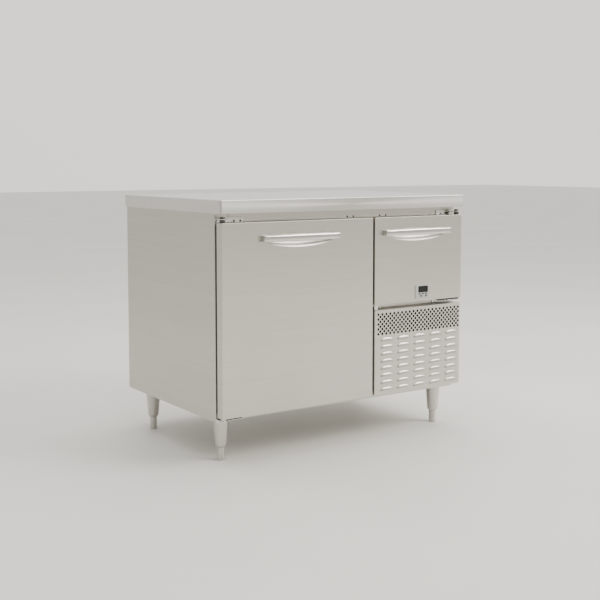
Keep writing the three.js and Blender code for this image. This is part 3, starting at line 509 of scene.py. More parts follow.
def make_worktop():
    (x0, y0, z0), (x1, y1, z1) = millimetre_box("worktop")
    bend, corner, sheet = 2.5, 6.5, 1.5
    rings = []

    def ring(inset, z):
        radius = max(corner - inset, 0.6)
        plan = rounded_rectangle(x0 + inset, x1 - inset, y0 + inset, y1 - inset, radius)
        rings.append([(x, y, z) for x, y in plan])

    for step in range(7):
        turn = math.radians(90 * step / 6)
        ring(bend * (1 - math.sin(turn)), z1 - bend * (1 - math.cos(turn)))
    ring(0.0, z0 + 0.4)
    ring(0.4, z0)
    ring(sheet - 0.4, z0)
    ring(sheet, z0 + 0.4)
    ring(sheet, z1 - sheet)
    return stacked("worktop_sheet", rings, top_steel)


place(make_worktop(), "cabinet", "stainless_brushed", "worktop")
worktop_stiffener = softened("worktop_stiffener", "worktop_core", foam_finish)
place(worktop_stiffener, "cabinet", "insulating_foam", "worktop_core")

# %% [markdown]
# ## Cabinet shell and front frame
# Each side panel is folded round at the front to make a face for the door seal. The rails and the
# post are channels, open to the back. All of them are folded sheets, with the sections' corners read
# from the plain solids.


# %% Fold the shell
SHELL_SHEET = 1.5
SIDE_RETURN = 20.0


def fold_side(node, side):
    (x0, y0, z0), (x1, y1, z1) = millimetre_box(node)
    outer, inner = (x0, x1) if side < 0 else (x1, x0)
    line = [(outer, y1), (outer, y0), (inner, y0), (inner, y0 + SIDE_RETURN)]
    loop = folded_loop(line if side < 0 else line[::-1], SHELL_SHEET)
    return extruded(node + "_sheet", loop, z0, z1, X_Y, door_steel)


for node, side in (("left_side_panel", -1), ("right_side_panel", 1)):
    place(fold_side(node, side), "cabinet", "stainless_brushed", node)


def fold_channel(node, lying):
    (x0, y0, z0), (x1, y1, z1) = millimetre_box(node)
    low, high = (z0, z1) if lying else (x0, x1)
    line = [(y1, low), (y0, low), (y0, high), (y1, high)]
    loop = folded_loop(line[::-1], SHELL_SHEET)
    if lying:
        return extruded(node + "_channel", loop, x0, x1, Y_Z, door_steel)
    swapped = [(across, deep) for deep, across in loop]
    return extruded(node + "_channel", swapped, z0, z1, X_Y, upright_steel)


for node, lying in (("top_rail", True), ("bottom_rail", True), ("cross_rail", True), ("mullion", False)):
    place(fold_channel(node, lying), "cabinet", "stainless_brushed", node)
base_sheet = softened("base_sheet", "base_panel", door_steel, 0.4 * MM)
place(base_sheet, "cabinet", "stainless_brushed", "base_panel")

# %% [markdown]
# ## Trees that repeat things
# Holes, louvres, fins, wires, blades and screws all repeat. Geometry Nodes lays copies of a small shape
# on points, and keeps the numbers as named inputs. Each tree here ends in Realize Instances and Set
# Material, and its result is baked to a plain mesh. These helpers write a tree, and run it on a piece.


# %% Write and run geometry trees
def geometry_tree(name, inputs):
    tree = bpy.data.node_groups.new(name, "GeometryNodeTree")
    tree.interface.new_socket("Geometry", in_out="INPUT", socket_type="NodeSocketGeometry")
    for label, kind, value in inputs:
        socket = tree.interface.new_socket(label, in_out="INPUT", socket_type="NodeSocket" + kind)
        if value is not None:
            socket.default_value = value
    tree.interface.new_socket("Geometry", in_out="OUTPUT", socket_type="NodeSocketGeometry")
    return tree, tree.nodes.new("NodeGroupInput").outputs, tree.nodes.new("NodeGroupOutput").inputs


def add(tree, kind, settings=None, **inputs):
    """A node with its settings, and its inputs given as numbers or as another node's output."""
    node = tree.nodes.new(kind)
    for key, value in (settings or {}).items():
        setattr(node, key, value)
    for label, value in inputs.items():
        socket = node.inputs[label.replace("_", " ")]
        if isinstance(value, bpy.types.NodeSocket):
            tree.links.new(value, socket)
        else:
            socket.default_value = value
    return node


def end_tree(tree, end, geometry, material):
    real = add(tree, "GeometryNodeRealizeInstances", Geometry=geometry)
    painted = add(tree, "GeometryNodeSetMaterial", Geometry=real.outputs[0], Material=material)
    tree.links.new(painted.outputs[0], end[0])


def grow(piece, tree, **values):
    """Runs a tree on a piece: inputs are set by their sockets' identifiers, then the result is baked."""
    step = piece.modifiers.new(tree.name, "NODES")
    step.node_group = tree
    for item in tree.interface.items_tree:
        key = item.name.replace(" ", "_")
        if item.in_out == "INPUT" and key in values:
            step[item.identifier] = values[key]
    baked_mesh(piece)
    return piece


def empty_piece(name):
    piece = bpy.data.objects.new(name, bpy.data.meshes.new(name))
    bpy.context.scene.collection.objects.link(piece)
    return piece


print("helpers for trees are ready")

# %% [markdown]
# ## A field of copies
# Round holes and pressed hoods both lie on a grid. The same tree does two jobs: the copies are either
# added to a sheet, as hoods are, or cut out of it with a boolean, as punched holes are. A boolean for
# each hole would also do, but one for the whole field is faster and keeps the pitch in one place.

# %% Build the field trees
FIELD_INPUTS = [
    ("Part", "Object", None), ("Columns", "Int", 5), ("Rows", "Int", 8), ("Pitch X", "Float", 0.07),
    ("Pitch Z", "Float", 0.02), ("Centre", "Vector", (0, 0, 0)), ("Finish", "Material", None)]


def build_field(cuts):
    tree, start, end = geometry_tree("punched field" if cuts else "pressed field", FIELD_INPUTS)
    gaps_across = math_node(tree, "SUBTRACT", start["Columns"], 1.0)
    gaps_up = math_node(tree, "SUBTRACT", start["Rows"], 1.0)
    width = math_node(tree, "MULTIPLY", gaps_across, start["Pitch X"])
    height = math_node(tree, "MULTIPLY", gaps_up, start["Pitch Z"])
    grid = add(tree, "GeometryNodeMeshGrid", Size_X=width, Size_Y=height, Vertices_X=start["Columns"],
               Vertices_Y=start["Rows"])
    upright = add(tree, "GeometryNodeTransform", Geometry=grid.outputs["Mesh"], Translation=start["Centre"],
                  Rotation=(math.pi / 2, 0.0, 0.0))
    part = add(tree, "GeometryNodeObjectInfo", {"transform_space": "ORIGINAL"}, Object=start["Part"])
    copies = add(tree, "GeometryNodeInstanceOnPoints", Points=upright.outputs[0],
                 Instance=part.outputs["Geometry"])
    if cuts:
        tools = add(tree, "GeometryNodeRealizeInstances", Geometry=copies.outputs[0])
        both = add(tree, "GeometryNodeMeshBoolean", {"operation": "DIFFERENCE"})
        tree.links.new(start["Geometry"], both.inputs["Mesh 1"])
        tree.links.new(tools.outputs[0], both.inputs["Mesh 2"])
    else:
        both = tree.nodes.new("GeometryNodeJoinGeometry")
        tree.links.new(start["Geometry"], both.inputs[0])
        tree.links.new(copies.outputs[0], both.inputs[0])
    end_tree(tree, end, both.outputs[0], start["Finish"])
    return tree


PUNCHED, PRESSED = build_field(True), build_field(False)
print("field trees:", PUNCHED.name, "and", PRESSED.name)

# %% [markdown]
# ## Blocks, turned shapes and cuts
# Many small parts are plain blocks, or are turned on a lathe. Both are closed shapes made in a few lines,
# and a third tree cuts one out of another. Pieces that belong together are joined into one mesh.


# %% Make blocks, turned shapes and cuts
def solid_box(name, x0, x1, y0, y1, z0, z1, material=door_steel, bevel=0.0, segments=2):
    plan = [(x0, y0), (x1, y0), (x1, y1), (x0, y1)]
    return extruded(name, plan, z0, z1, X_Y, material, bevel, segments)


def turned(name, profile, centre, axis, material, segments=48, angle=32.0):
    """A profile of (radius, height) pairs in millimetres, turned about an axis through centre."""
    rings = []
    for radius, height in profile:
        ring = []
        for i in range(segments):
            turn = 2 * math.pi * i / segments
            a, b = max(radius, 0.01) * math.cos(turn), max(radius, 0.01) * math.sin(turn)
            point = {"Z": (a, b, height), "Y": (a, height, b), "X": (height, a, b)}[axis]
            ring.append(tuple(c + p for c, p in zip(centre, point)))
        rings.append(ring)
    return stacked(name, rings, material, angle=angle)


def discard(*pieces):
    for piece in pieces:
        bpy.data.objects.remove(piece)


def joined(name, pieces):
    """Several pieces of one material as one mesh."""
    shape = bmesh.new()
    for piece in pieces:
        shape.from_mesh(piece.data)
    material = pieces[0].data.materials[0]
    discard(*pieces)
    return finished(from_bmesh(name, shape, material, recalculate=False))


def build_carve():
    tree, start, end = geometry_tree("carve", [("Tool", "Object", None), ("Finish", "Material", None)])
    tool = add(tree, "GeometryNodeObjectInfo", {"transform_space": "ORIGINAL"}, Object=start["Tool"])
    cut = add(tree, "GeometryNodeMeshBoolean", {"operation": "DIFFERENCE"})
    tree.links.new(start["Geometry"], cut.inputs["Mesh 1"])
    tree.links.new(tool.outputs["Geometry"], cut.inputs["Mesh 2"])
    end_tree(tree, end, cut.outputs[0], start["Finish"])
    return tree


CARVE = build_carve()


def carved(piece, material, *tools):
    """Cuts tools out of a piece, one after the other."""
    for tool in tools:
        grow(piece, CARVE, Tool=tool, Finish=material)
    discard(*tools)
    return piece


print("trees:", [t.name for t in bpy.data.node_groups if t.bl_idname == "GeometryNodeTree"])

# %% [markdown]
# ## One louvre
# The panel in front of the machine bay breathes through louvres: the press slits the sheet and pushes a
# half-round hood out above each slit, closed at its two ends. One hood is modelled as a skin outside and
# a skin inside, so that it has the sheet's thickness at its open lower edge.


# %% Press one louvre
HOOD_SHOULDER = 3.4
HOOD_INSIDE = 0.78
HOOD_SINK = 0.3


def louvre(name, width, height, reach, outward=-1):
    """A quarter-round hood, open below, with its back on the sheet's face."""
    across, down = 16, 5
    shape = bmesh.new()

    def skin(scale):
        rows = []
        for i in range(across + 1):
            u = math.sin(math.pi / 2 * (2 * i / across - 1))
            end = (1 - abs(u) ** HOOD_SHOULDER) ** 0.5
            row = []
            for j in range(down + 1):
                turn = math.pi / 2 * j / down
                row.append(shape.verts.new((
                    u * width / 2 * MM,
                    outward * (reach * scale * end * math.sin(turn) - HOOD_SINK * (1 - scale)) * MM,
                    (-height / 2 + height * scale * end * math.cos(turn)) * MM,
                )))
            rows.append(row)
        return rows

    outer, inner = skin(1.0), skin(HOOD_INSIDE)
    for i in range(across):
        for j in range(down):
            shape.faces.new((outer[i][j], outer[i + 1][j], outer[i + 1][j + 1], outer[i][j + 1]))
            shape.faces.new((inner[i][j], inner[i][j + 1], inner[i + 1][j + 1], inner[i + 1][j]))
        for j in (0, down):
            shape.faces.new((outer[i][j], outer[i + 1][j], inner[i + 1][j], inner[i][j]))
    bmesh.ops.remove_doubles(shape, verts=shape.verts, dist=0.12 * MM)
    return finished(from_bmesh(name, shape, door_steel), angle=50.0)


print("one hood, mm of sink behind the sheet's face:", HOOD_SINK)

# %% [markdown]
# ## Louvred panel
# The upper part of the panel is punched with round holes in staggered rows, which are two square grids,
# one set half a step aside. The lower part gets the slits and the hoods. The sheet is folded back on all
# four sides, as a loose panel is.

# %% Punch and press the panel
HOLE_RADIUS = 4.8
HOLE_PITCH_X, HOLE_PITCH_Z = 17.62, 8.53
HOLE_COLUMNS, HOLE_ROW_PAIRS = 22, 4
HOLES_FROM_LEFT, HOLES_FROM_TOP = 16.0, 15.5
LOUVRE_WIDTH, LOUVRE_HEIGHT, LOUVRE_REACH = 58.0, 12.5, 5.0
LOUVRE_COLUMNS, LOUVRE_ROWS = 5, 8
LOUVRE_PITCH_X, LOUVRE_PITCH_Z = 74.5, 25.05
LOUVRES_FROM_LEFT, LOUVRES_FROM_TOP = 26.5, 104.0


def make_louvre_panel():
    (x0, y0, z0), (x1, y1, z1) = millimetre_box("louvre_panel")
    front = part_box("main_door_skin")[0].y / MM
    sheet = 1.5
    line = [(x1, y1), (x1, front), (x0, front), (x0, y1)]
    panel = extruded("louvred_panel", folded_loop(line[::-1], sheet, 3.0), z0, z1, X_Y, door_steel)
    flanges = [solid_box("flange", x0 + 1.0, x1 - 1.0, front + 1.0, y1, z, z + sheet, door_steel, 0.4 * MM)
               for z in (z0, z1 - sheet)]
    hole = turned("hole punch", [(HOLE_RADIUS, -5.0), (HOLE_RADIUS, 5.0)], (0, 0, 0), "Y", door_steel, 16)
    middle_x = x0 + HOLES_FROM_LEFT + HOLE_PITCH_X * (HOLE_COLUMNS - 1) / 2
    middle_z = z1 - HOLES_FROM_TOP - HOLE_PITCH_Z * HOLE_ROW_PAIRS
    centre = Vector((middle_x, front, middle_z)) * MM
    for extra in (1, 0):
        grow(panel, PUNCHED, Part=hole, Columns=HOLE_COLUMNS - 1 + extra, Rows=HOLE_ROW_PAIRS + extra,
             Pitch_X=HOLE_PITCH_X * MM, Pitch_Z=2 * HOLE_PITCH_Z * MM, Centre=centre, Finish=door_steel)
    half, bottom = LOUVRE_WIDTH / 2, -LOUVRE_HEIGHT / 2
    slit = solid_box("slit punch", -half + 4, half - 4, -5, 5, bottom + 0.5, bottom + 5)
    hood = louvre("hood", LOUVRE_WIDTH, LOUVRE_HEIGHT, LOUVRE_REACH)
    middle_x = x0 + LOUVRES_FROM_LEFT + half + (LOUVRE_COLUMNS - 1) / 2 * LOUVRE_PITCH_X
    middle_z = z1 - LOUVRES_FROM_TOP - (LOUVRE_ROWS - 1) / 2 * LOUVRE_PITCH_Z
    field = {"Columns": LOUVRE_COLUMNS, "Rows": LOUVRE_ROWS, "Finish": door_steel,
             "Pitch_X": LOUVRE_PITCH_X * MM, "Pitch_Z": LOUVRE_PITCH_Z * MM,
             "Centre": Vector((middle_x, front, middle_z)) * MM}
    grow(panel, PUNCHED, Part=slit, **field)
    grow(panel, PRESSED, Part=hood, **field)
    discard(hole, slit, hood)
    return joined("louvred_panel", [panel, *flanges])


louvred_panel = place(make_louvre_panel(), "cabinet", "stainless_brushed", "louvre_panel")
print("louvred panel faces:", len(louvred_panel.data.polygons))

# %% [markdown]
# ## Linings
# Each compartment is lined with a seamless tub, so that spills can be wiped out: the corners are coves.
# Rings of the same rounded rectangle run from the middle of the back wall to the front edge and back
# along the outside, which gives the tub its real thickness. The main tub has two pressed ledges for
# the shelves on each side.


# %% Make the linings
def flat_ring(low, high, inset, radius, y):
    plan = rounded_rectangle(low[0] + inset, high[0] - inset, low[2] + inset, high[2] - inset, radius)
    return [(x, y, z) for x, z in plan]


def make_lining(name, node):
    low, high = millimetre_box(node)
    sheet, cove = 1.5, 12.0
    back = high[1]
    rings = []
    for step in range(6):
        turn = math.radians(90 * step / 5)
        inset = sheet + cove * (1 - math.sin(turn))
        deep = back - sheet - cove * (1 - math.cos(turn))
        rings.append(flat_ring(low, high, inset, max(cove + sheet - inset, 0.5), deep))
    rings.append(flat_ring(low, high, sheet, cove, low[1] + 0.3))
    rings.append(flat_ring(low, high, sheet - 0.3, cove + 0.3, low[1]))
    rings.append(flat_ring(low, high, 0.0, cove + sheet, low[1]))
    rings.append(flat_ring(low, high, 0.0, cove + sheet, back))
    return stacked(name, rings, liner_steel)


LEDGE_REACH, LEDGE_HEIGHT = 15.5, 8.0


def make_main_lining():
    low, high = millimetre_box("main_liner")
    parts = [make_lining("tub", "main_liner")]
    for shelf in ("lower_shelf", "upper_shelf"):
        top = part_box(shelf)[0].z / MM - 0.3
        for x0, x1 in ((low[0] + 1.0, low[0] + LEDGE_REACH), (high[0] - LEDGE_REACH, high[0] - 1.0)):
            parts.append(solid_box("ledge", x0, x1, low[1] + 15, high[1] - 16.5, top - LEDGE_HEIGHT, top,
                                   liner_steel, 2.0 * MM, 3))
    return joined("main_lining", parts)


place(make_main_lining(), "cabinet", "liner_steel", "main_liner")
place(make_lining("upper_lining", "upper_liner"), "cabinet", "liner_steel", "upper_liner")

# %% [markdown]
# ## Wire shelves
# A fridge shelf is made of wire, so that cold air can pass. A curve with a thickness could be drawn for
# each wire, but two trees are enough: one lays straight rods along a line of points, and the other turns
# a piece's own edges into one rod with rounded bends.

# %% Build the rod trees
ROD_SIDES = 10


def build_rods():
    """Straight rods, side by side along X."""
    tree, start, end = geometry_tree("row of rods", [
        ("Count", "Int", 20), ("Pitch", "Float", 0.02), ("Start", "Vector", (0, 0, 0)),
        ("Reach", "Vector", (0, 0.5, 0)), ("Radius", "Float", 0.002), ("Finish", "Material", None)])
    step = add(tree, "ShaderNodeCombineXYZ", X=start["Pitch"])
    line = add(tree, "GeometryNodeMeshLine", Count=start["Count"], Start_Location=start["Start"],
               Offset=step.outputs[0])
    rod = add(tree, "GeometryNodeCurvePrimitiveLine", Start=(0, 0, 0), End=start["Reach"])
    section = add(tree, "GeometryNodeCurvePrimitiveCircle", Resolution=ROD_SIDES, Radius=start["Radius"])
    solid = add(tree, "GeometryNodeCurveToMesh", Curve=rod.outputs[0], Profile_Curve=section.outputs[0],
                Fill_Caps=True)
    copies = add(tree, "GeometryNodeInstanceOnPoints", Points=line.outputs[0], Instance=solid.outputs[0])
    end_tree(tree, end, copies.outputs[0], start["Finish"])
    return tree


def build_bent_rod():
    """A rod that follows the piece's own edges, with rounded bends."""
    tree, start, end = geometry_tree("bent rod", [
        ("Radius", "Float", 0.003), ("Bend", "Float", 0.01), ("Sides", "Int", ROD_SIDES),
        ("Finish", "Material", None)])
    path = add(tree, "GeometryNodeMeshToCurve", Mesh=start["Geometry"])
    bent = add(tree, "GeometryNodeFilletCurve", {"mode": "POLY"}, Curve=path.outputs[0], Count=6,
               Radius=start["Bend"], Limit_Radius=True)
    section = add(tree, "GeometryNodeCurvePrimitiveCircle", Resolution=start["Sides"], Radius=start["Radius"])
    solid = add(tree, "GeometryNodeCurveToMesh", Curve=bent.outputs[0], Profile_Curve=section.outputs[0],
                Fill_Caps=True)
    end_tree(tree, end, solid.outputs[0], start["Finish"])
    return tree


RODS, BENT_ROD = build_rods(), build_bent_rod()
print("rod trees:", RODS.name, "and", BENT_ROD.name)


def bent_rod(name, points, radius, bend, material, closed=False, sides=ROD_SIDES):
    count = len(points)
    edges = [(i, i + 1) for i in range(count - 1)] + ([(count - 1, 0)] if closed else [])
    piece = empty_piece(name)
    piece.data.from_pydata([Vector(p) * MM for p in points], edges, [])
    return grow(piece, BENT_ROD, Radius=radius * MM, Bend=bend * MM, Sides=sides, Finish=material)


def rod_row(name, count, pitch, start, reach, radius, material):
    return grow(empty_piece(name), RODS, Count=count, Pitch=pitch * MM, Start=Vector(start) * MM,
                Reach=Vector(reach) * MM, Radius=radius * MM, Finish=material)


# %% [markdown]
# The shelf itself is a rim of thick wire, a row of thin wires welded across it, and two cross bars under
# them. The welds don't show at this size.

# %% Make the shelves
SHELF_WIRES = 25


def make_shelf(node):
    (x0, y0, z0), (x1, y1, z1) = millimetre_box(node)
    rim, wire = 2.5, 1.4
    level = z0 + rim
    left, right, front, back = x0 + rim, x1 - rim, y0 + rim, y1 - rim
    corners = [(left, front, level), (right, front, level), (right, back, level), (left, back, level)]
    frame_rod = bent_rod("rim", corners, rim, 14.0, wire_steel, closed=True)
    pitch = (x1 - x0 - 2 * rim) / (SHELF_WIRES + 1)
    along = (0, y1 - y0 - 2 * rim, 0)
    wires = rod_row("wires", SHELF_WIRES, pitch, (x0 + rim + pitch, front, level), along, wire, wire_steel)
    bars = [bent_rod("bar", [(left, y, level - 0.2), (right, y, level - 0.2)], 2.2, 1.0, wire_steel)
            for y in (y0 + (y1 - y0) / 3, y0 + 2 * (y1 - y0) / 3)]
    return joined(node + "_wires", [frame_rod, wires, *bars])


for node in ("lower_shelf", "upper_shelf"):
    shelf = place(make_shelf(node), "cabinet", "stainless_polished", node)
print("shelf faces:", len(shelf.data.polygons))

# %% [markdown]
# ## Doors
# A door is a shallow steel box with a pressed recess for the fingers. The recess is a lens: its lower
# edge bows down and its upper edge bows up, and the sheet slopes in from below to a steep top wall. A
# grid whose rows follow the two curves makes the shape without any cutting, so the flat front
# stays flat and the slope is smooth. The edges of the box get a 2 mm fold radius.

# %% Shape the finger recess
DOORS = ("main_door", "upper_door")
RECESS_HALF = 165.0
RECESS_LOW, RECESS_HIGH = -33.0, 14.5
RECESS_TIP = -6.5
RECESS_DEPTH = 17.0
HANDLE_LEVEL = 53.5
DOOR_SHEET, DOOR_FOLD = 1.2, 2.0
# Shares of the recess's height at which the rows of the grid lie, closer at its two edges.
RECESS_ROWS = [0, .03, .07, .12, .18, .25, .33, .42, .52, .62, .7, .77, .83, .88, .92, .955, .98, 1]


def recess_edges(u):
    """Heights of the lens's lower and upper edge, from the handle's middle, at -1 <= u <= 1."""
    return [edge + (RECESS_TIP - edge) * u * u for edge in (RECESS_LOW, RECESS_HIGH)]


def recess_depth(rise, drop):
    """How deep the sheet is pressed at a height above the lower edge and below the upper edge.

    From below it slopes in, slowly at first. From above it goes in steeply. The least of the slope, the
    wall and the full depth counts, with a soft change from one to the next.
    """
    if rise <= 0 or drop <= 0:
        return 0.0
    slope = (0.26 * rise + 0.012 * rise * rise) * rise / (rise + 0.8)
    wall = 8.0 * drop * drop / (drop + 0.4)
    return sum(limit ** -4 for limit in (slope, wall, RECESS_DEPTH)) ** -0.25


recess_height = RECESS_HIGH - RECESS_LOW
for share in (0.2, 0.5, 0.8, 0.95):
    rise = recess_height * share
    print("recess depth at", share, "of its height, mm:", round(recess_depth(rise, recess_height - rise), 1))

# %% [markdown]
# The skin is then one grid with the recess in it, a rim pushed back round its edge, and a Bevel and a
# Solidify modifier, which give it the fold radius and the thickness of the sheet.


# %% Press the door skins
def make_skin(name, node, centre_x):
    low, high = millimetre_box(node)
    front, back = low[1], high[1]
    level = high[2] - HANDLE_LEVEL
    columns = 72
    shape = bmesh.new()

    def vertex(x, y, z):
        return shape.verts.new(Vector((x, y, z)) * MM)

    grid = []
    for i in range(columns + 1):
        u = math.sin(math.pi / 2 * (2 * i / columns - 1))
        x = centre_x + RECESS_HALF * u
        lower, upper = recess_edges(u)
        column = [vertex(x, front, low[2])]
        for share in RECESS_ROWS:
            rise = (upper - lower) * share
            column.append(vertex(x, front + recess_depth(rise, upper - lower - rise), level + lower + rise))
        column.append(vertex(x, front, high[2]))
        grid.append(column)
    tip = level + RECESS_TIP
    heights = [low[2]] + [tip] * len(RECESS_ROWS) + [high[2]]
    for x, at in ((low[0], 0), (high[0], len(grid) + 1)):
        grid.insert(at, [vertex(x, front, z) for z in heights])
    for a, b in zip(grid, grid[1:]):
        inside = a is not grid[0] and b is not grid[-1]
        for j in range(len(RECESS_ROWS) + 1):
            face = shape.faces.new((a[j], b[j], b[j + 1], a[j + 1]))
            # Faces inside the recess take the second finish, the paler steel that paints their highlight.
            face.material_index = int(inside and 0 < j < len(RECESS_ROWS))
    bmesh.ops.remove_doubles(shape, verts=shape.verts, dist=1e-6)
    rim = [e for e in shape.edges if e.is_boundary]
    raised = bmesh.ops.extrude_edge_only(shape, edges=rim)["geom"]
    for vert in (v for v in raised if isinstance(v, bmesh.types.BMVert)):
        vert.co.y = back * MM
    bmesh.ops.recalc_face_normals(shape, faces=shape.faces)
    shape.faces.ensure_lookup_table()
    if max(shape.faces, key=lambda f: f.calc_area()).normal.y > 0:
        bmesh.ops.reverse_faces(shape, faces=shape.faces)
    piece = from_bmesh(name, shape, door_steel, recalculate=False)
    # The second finish is the paler steel that paints the highlight in the recess.
    piece.data.materials.append(recess_highlight_steel)
    piece.data.shade_smooth()
    rounding = piece.modifiers.new("fold", "BEVEL")
    rounding.width = DOOR_FOLD * MM
    rounding.segments = 4
    rounding.limit_method = "ANGLE"
    rounding.angle_limit = math.radians(75)
    wall = piece.modifiers.new("sheet", "SOLIDIFY")
    wall.thickness = DOOR_SHEET * MM
    wall.offset = -1.0
    wall.use_even_offset = False
    piece.modifiers.new("flats", "WEIGHTED_NORMAL")
    baked_mesh(piece)
    return piece


for door in DOORS:
    middle = sum(corner.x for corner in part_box(door + "_handle")) / 2 / MM
    skin = make_skin(door + "_front", door + "_skin", middle)
    place(skin, door, "stainless_brushed", door + "_skin")
    print(door, "skin faces:", len(skin.data.polygons), "handle at x", round(middle, 1))

# %% [markdown]
# ## Door linings
# Behind each skin a pressed pan steps into the opening of the cabinet, and foam fills the space between.
# The pan's outline is the opening's own, drawn in by a clearance, so that it follows any size of door.

# %% Press the pans
PAN_CLEARANCE = 9.5


def make_pan(name, door):
    """The pan's raised middle keeps clear of the compartment's opening."""
    low, high = millimetre_box(door + "_liner")
    opening = millimetre_box(door.replace("_door", "_liner"))
    base = millimetre_box(door + "_skin")[1][1]
    sheet, corner, fillet = 1.5, 14.0, 5.0

    def raised(inset, y):
        return flat_ring(*opening, PAN_CLEARANCE + inset, corner - inset, y)

    rings = [raised(sheet, high[1] - sheet),
             raised(sheet, base - sheet),
             flat_ring(low, high, 0.0, 1.5, base - sheet),
             flat_ring(low, high, 0.0, 1.5, base),
             raised(-3.0, base),
             raised(-0.9, base + 0.9),
             raised(0.0, base + 3.0)]
    for step in range(6):
        turn = math.radians(90 * step / 5)
        rings.append(raised(fillet * (1 - math.cos(turn)), high[1] - fillet * (1 - math.sin(turn))))
    return stacked(name, rings, liner_steel)


for door in DOORS:
    place(make_pan(door + "_pan", door), door, "liner_steel", door + "_liner")

# %% [markdown]
# ## Seals and foam
# The black seal round the pan is a hollow rubber bellows with a magnet in its head: a foot clipped to the
# door, a folded middle and a wide head that meets the frame. On the upright sides an outer flap reaches
# further out, and closes the gap between the door and the cabinet. The section is carried round the four
# mitred corners, which a sweep along a curve would not mitre so cleanly.

# %% Form the seals
OUTER_FLAP = 11.0
SEAL_OUTSIDE = [(0.6, 0.0), (0.6, 1.6), (3.2, 2.4), (1.4, 5.4), (3.4, 7.6), (0.4, 8.8), (0.0, 9.6),
                (0.0, 12.6), (0.8, 13.4)]
SEAL_INSIDE = [(14.2, 13.4), (15.0, 12.6), (15.0, 9.6), (14.6, 8.8), (11.6, 7.6), (13.6, 5.4),
               (11.8, 2.4), (14.4, 1.6), (14.4, 0.0)]
SEAL_SECTION = [(across - OUTER_FLAP, deep) for across, deep in SEAL_OUTSIDE] + SEAL_INSIDE


def make_seal(name, node):
    low, high = millimetre_box(node)
    corners = ((low[0], low[2], 1, 1), (high[0], low[2], -1, 1), (high[0], high[2], -1, -1),
               (low[0], high[2], 1, -1))
    rings = []
    for x, z, dx, dz in corners:
        rings.append([(x + dx * across, low[1] + deep, z + dz * max(across, 0.0))
                      for across, deep in SEAL_SECTION])
    return stacked(name, rings, seal_rubber, closed="loop", angle=38.0)


for door in DOORS:
    place(make_seal(door + "_seal", door + "_gasket"), door, "gasket_rubber", door + "_gasket")
    foam = softened(door + "_foam", door + "_insulation", foam_finish)
    place(foam, door, "insulating_foam", door + "_insulation")

# %% [markdown]
# ## Handles
# The handle is a cast bar that bows out and thickens towards its middle, with a foot at each end. It is
# a row of rounded sections, each with its own height and depth. The back of the section reaches the door
# at the two ends and stands clear of it between them.

# %% Cast the handles
HANDLE_STATIONS = 56
HANDLE_POINTS = 36
HANDLE_END_REACH = 18.0
HANDLE_END_HALF = 10.0
HANDLE_FOOT = 11.0
HANDLE_FOOT_BLEND = 9.0
HANDLE_THICKNESS = 12.5
HANDLE_SINK = 0.3


def handle_section(u, half, front_mid, mid_half, face):
    """A ring of points across the bar at -1 <= u <= 1 of its length."""
    bow = 1 - u * u
    height = HANDLE_END_HALF + (mid_half - HANDLE_END_HALF) * bow
    front = -(HANDLE_END_REACH + (front_mid - HANDLE_END_REACH) * bow)
    from_end = (1 - abs(u)) * half
    blend = min(max((from_end - HANDLE_FOOT) / HANDLE_FOOT_BLEND, 0.0), 1.0)
    blend = blend * blend * (3 - 2 * blend)
    back = -HANDLE_SINK + (front + HANDLE_THICKNESS + HANDLE_SINK) * blend
    squareness = 5.0 - 2.2 * blend
    ring = []
    for i in range(HANDLE_POINTS):
        turn = 2 * math.pi * i / HANDLE_POINTS
        c, s = math.cos(turn), math.sin(turn)
        a = math.copysign(abs(c) ** (2 / squareness), c)
        b = math.copysign(abs(s) ** (2 / squareness), s)
        ring.append((face + (front + back) / 2 + (front - back) / 2 * a, height * b))
    return ring


def make_handle(name, node):
    low, high = millimetre_box(node)
    face = high[1] + HANDLE_SINK
    centre_x, centre_z = (low[0] + high[0]) / 2, (low[2] + high[2]) / 2
    half = (high[0] - low[0]) / 2
    tips = [0.988, 0.995, 0.9985, 1.0]
    stations = [-u for u in reversed(tips)]
    for i in range(HANDLE_STATIONS + 1):
        stations.append(-0.98 + 1.96 * (0.5 - 0.5 * math.cos(math.pi * i / HANDLE_STATIONS)))
    stations += tips
    rings = []
    for u in stations:
        ring = handle_section(u, half, face - low[1], (high[2] - low[2]) / 2, face)
        mid_y = sum(y for y, _ in ring) / len(ring)
        edge = (1 - abs(u)) * half
        shrink = 1.0 - 0.16 * max(0.0, 1 - edge / 1.6) ** 2
        rings.append([(centre_x + u * half, mid_y + (y - mid_y) * shrink, centre_z + z * shrink)
                      for y, z in ring])
    return stacked(name, rings, handle_steel, angle=50.0)


for door in DOORS:
    place(make_handle(door + "_bar", door + "_handle"), door, "stainless_polished", door + "_handle")

# %% [markdown]
# ## Hinges
# Each door turns on a pin under a cranked bracket at the top and on a fixed pin at the bottom. The
# brackets are stamped plate, so their edges are only just broken. The top pins are turned.

# %% Make the hinges
for door in DOORS:
    for node in (door + "_top_bracket", door + "_bottom_bracket"):
        plate = softened(node + "_plate", node, fitting_steel, 0.45 * MM)
        place(plate, "cabinet", "stainless_polished", node)
    low, high = millimetre_box(door + "_top_pin")
    middle = [(a + b) / 2 for a, b in zip(low, high)]
    top, bottom = high[2], low[2]
    profile = [(0, bottom), (3.4, bottom), (4.0, bottom + 0.6), (4.0, bottom + 12.3), (8.6, bottom + 12.3),
               (9.0, bottom + 12.7), (9.0, top - 10.0), (8.6, top - 9.6), (4.0, top - 9.6), (4.0, top - 5.7),
               (9.0, top - 5.7), (9.0, top - 2.6), (8.4, top - 1.2), (6.0, top - 0.3), (3.0, top), (0, top)]
    pin = turned(door + "_hinge_pin", profile, (middle[0], middle[1], 0.0), "Z", dark_steel, 32)
    place(pin, "cabinet", "stainless_polished", door + "_top_pin")

# %% [markdown]
# ## Screws
# Every bracket and plate is held by small pan-head screws with a cross in the head. One screw is modelled
# and a tree puts a copy on each point of a list, turned to face the way that the point's own direction
# says. The top rail also has two pairs of screws for hanging the doors the other way round.


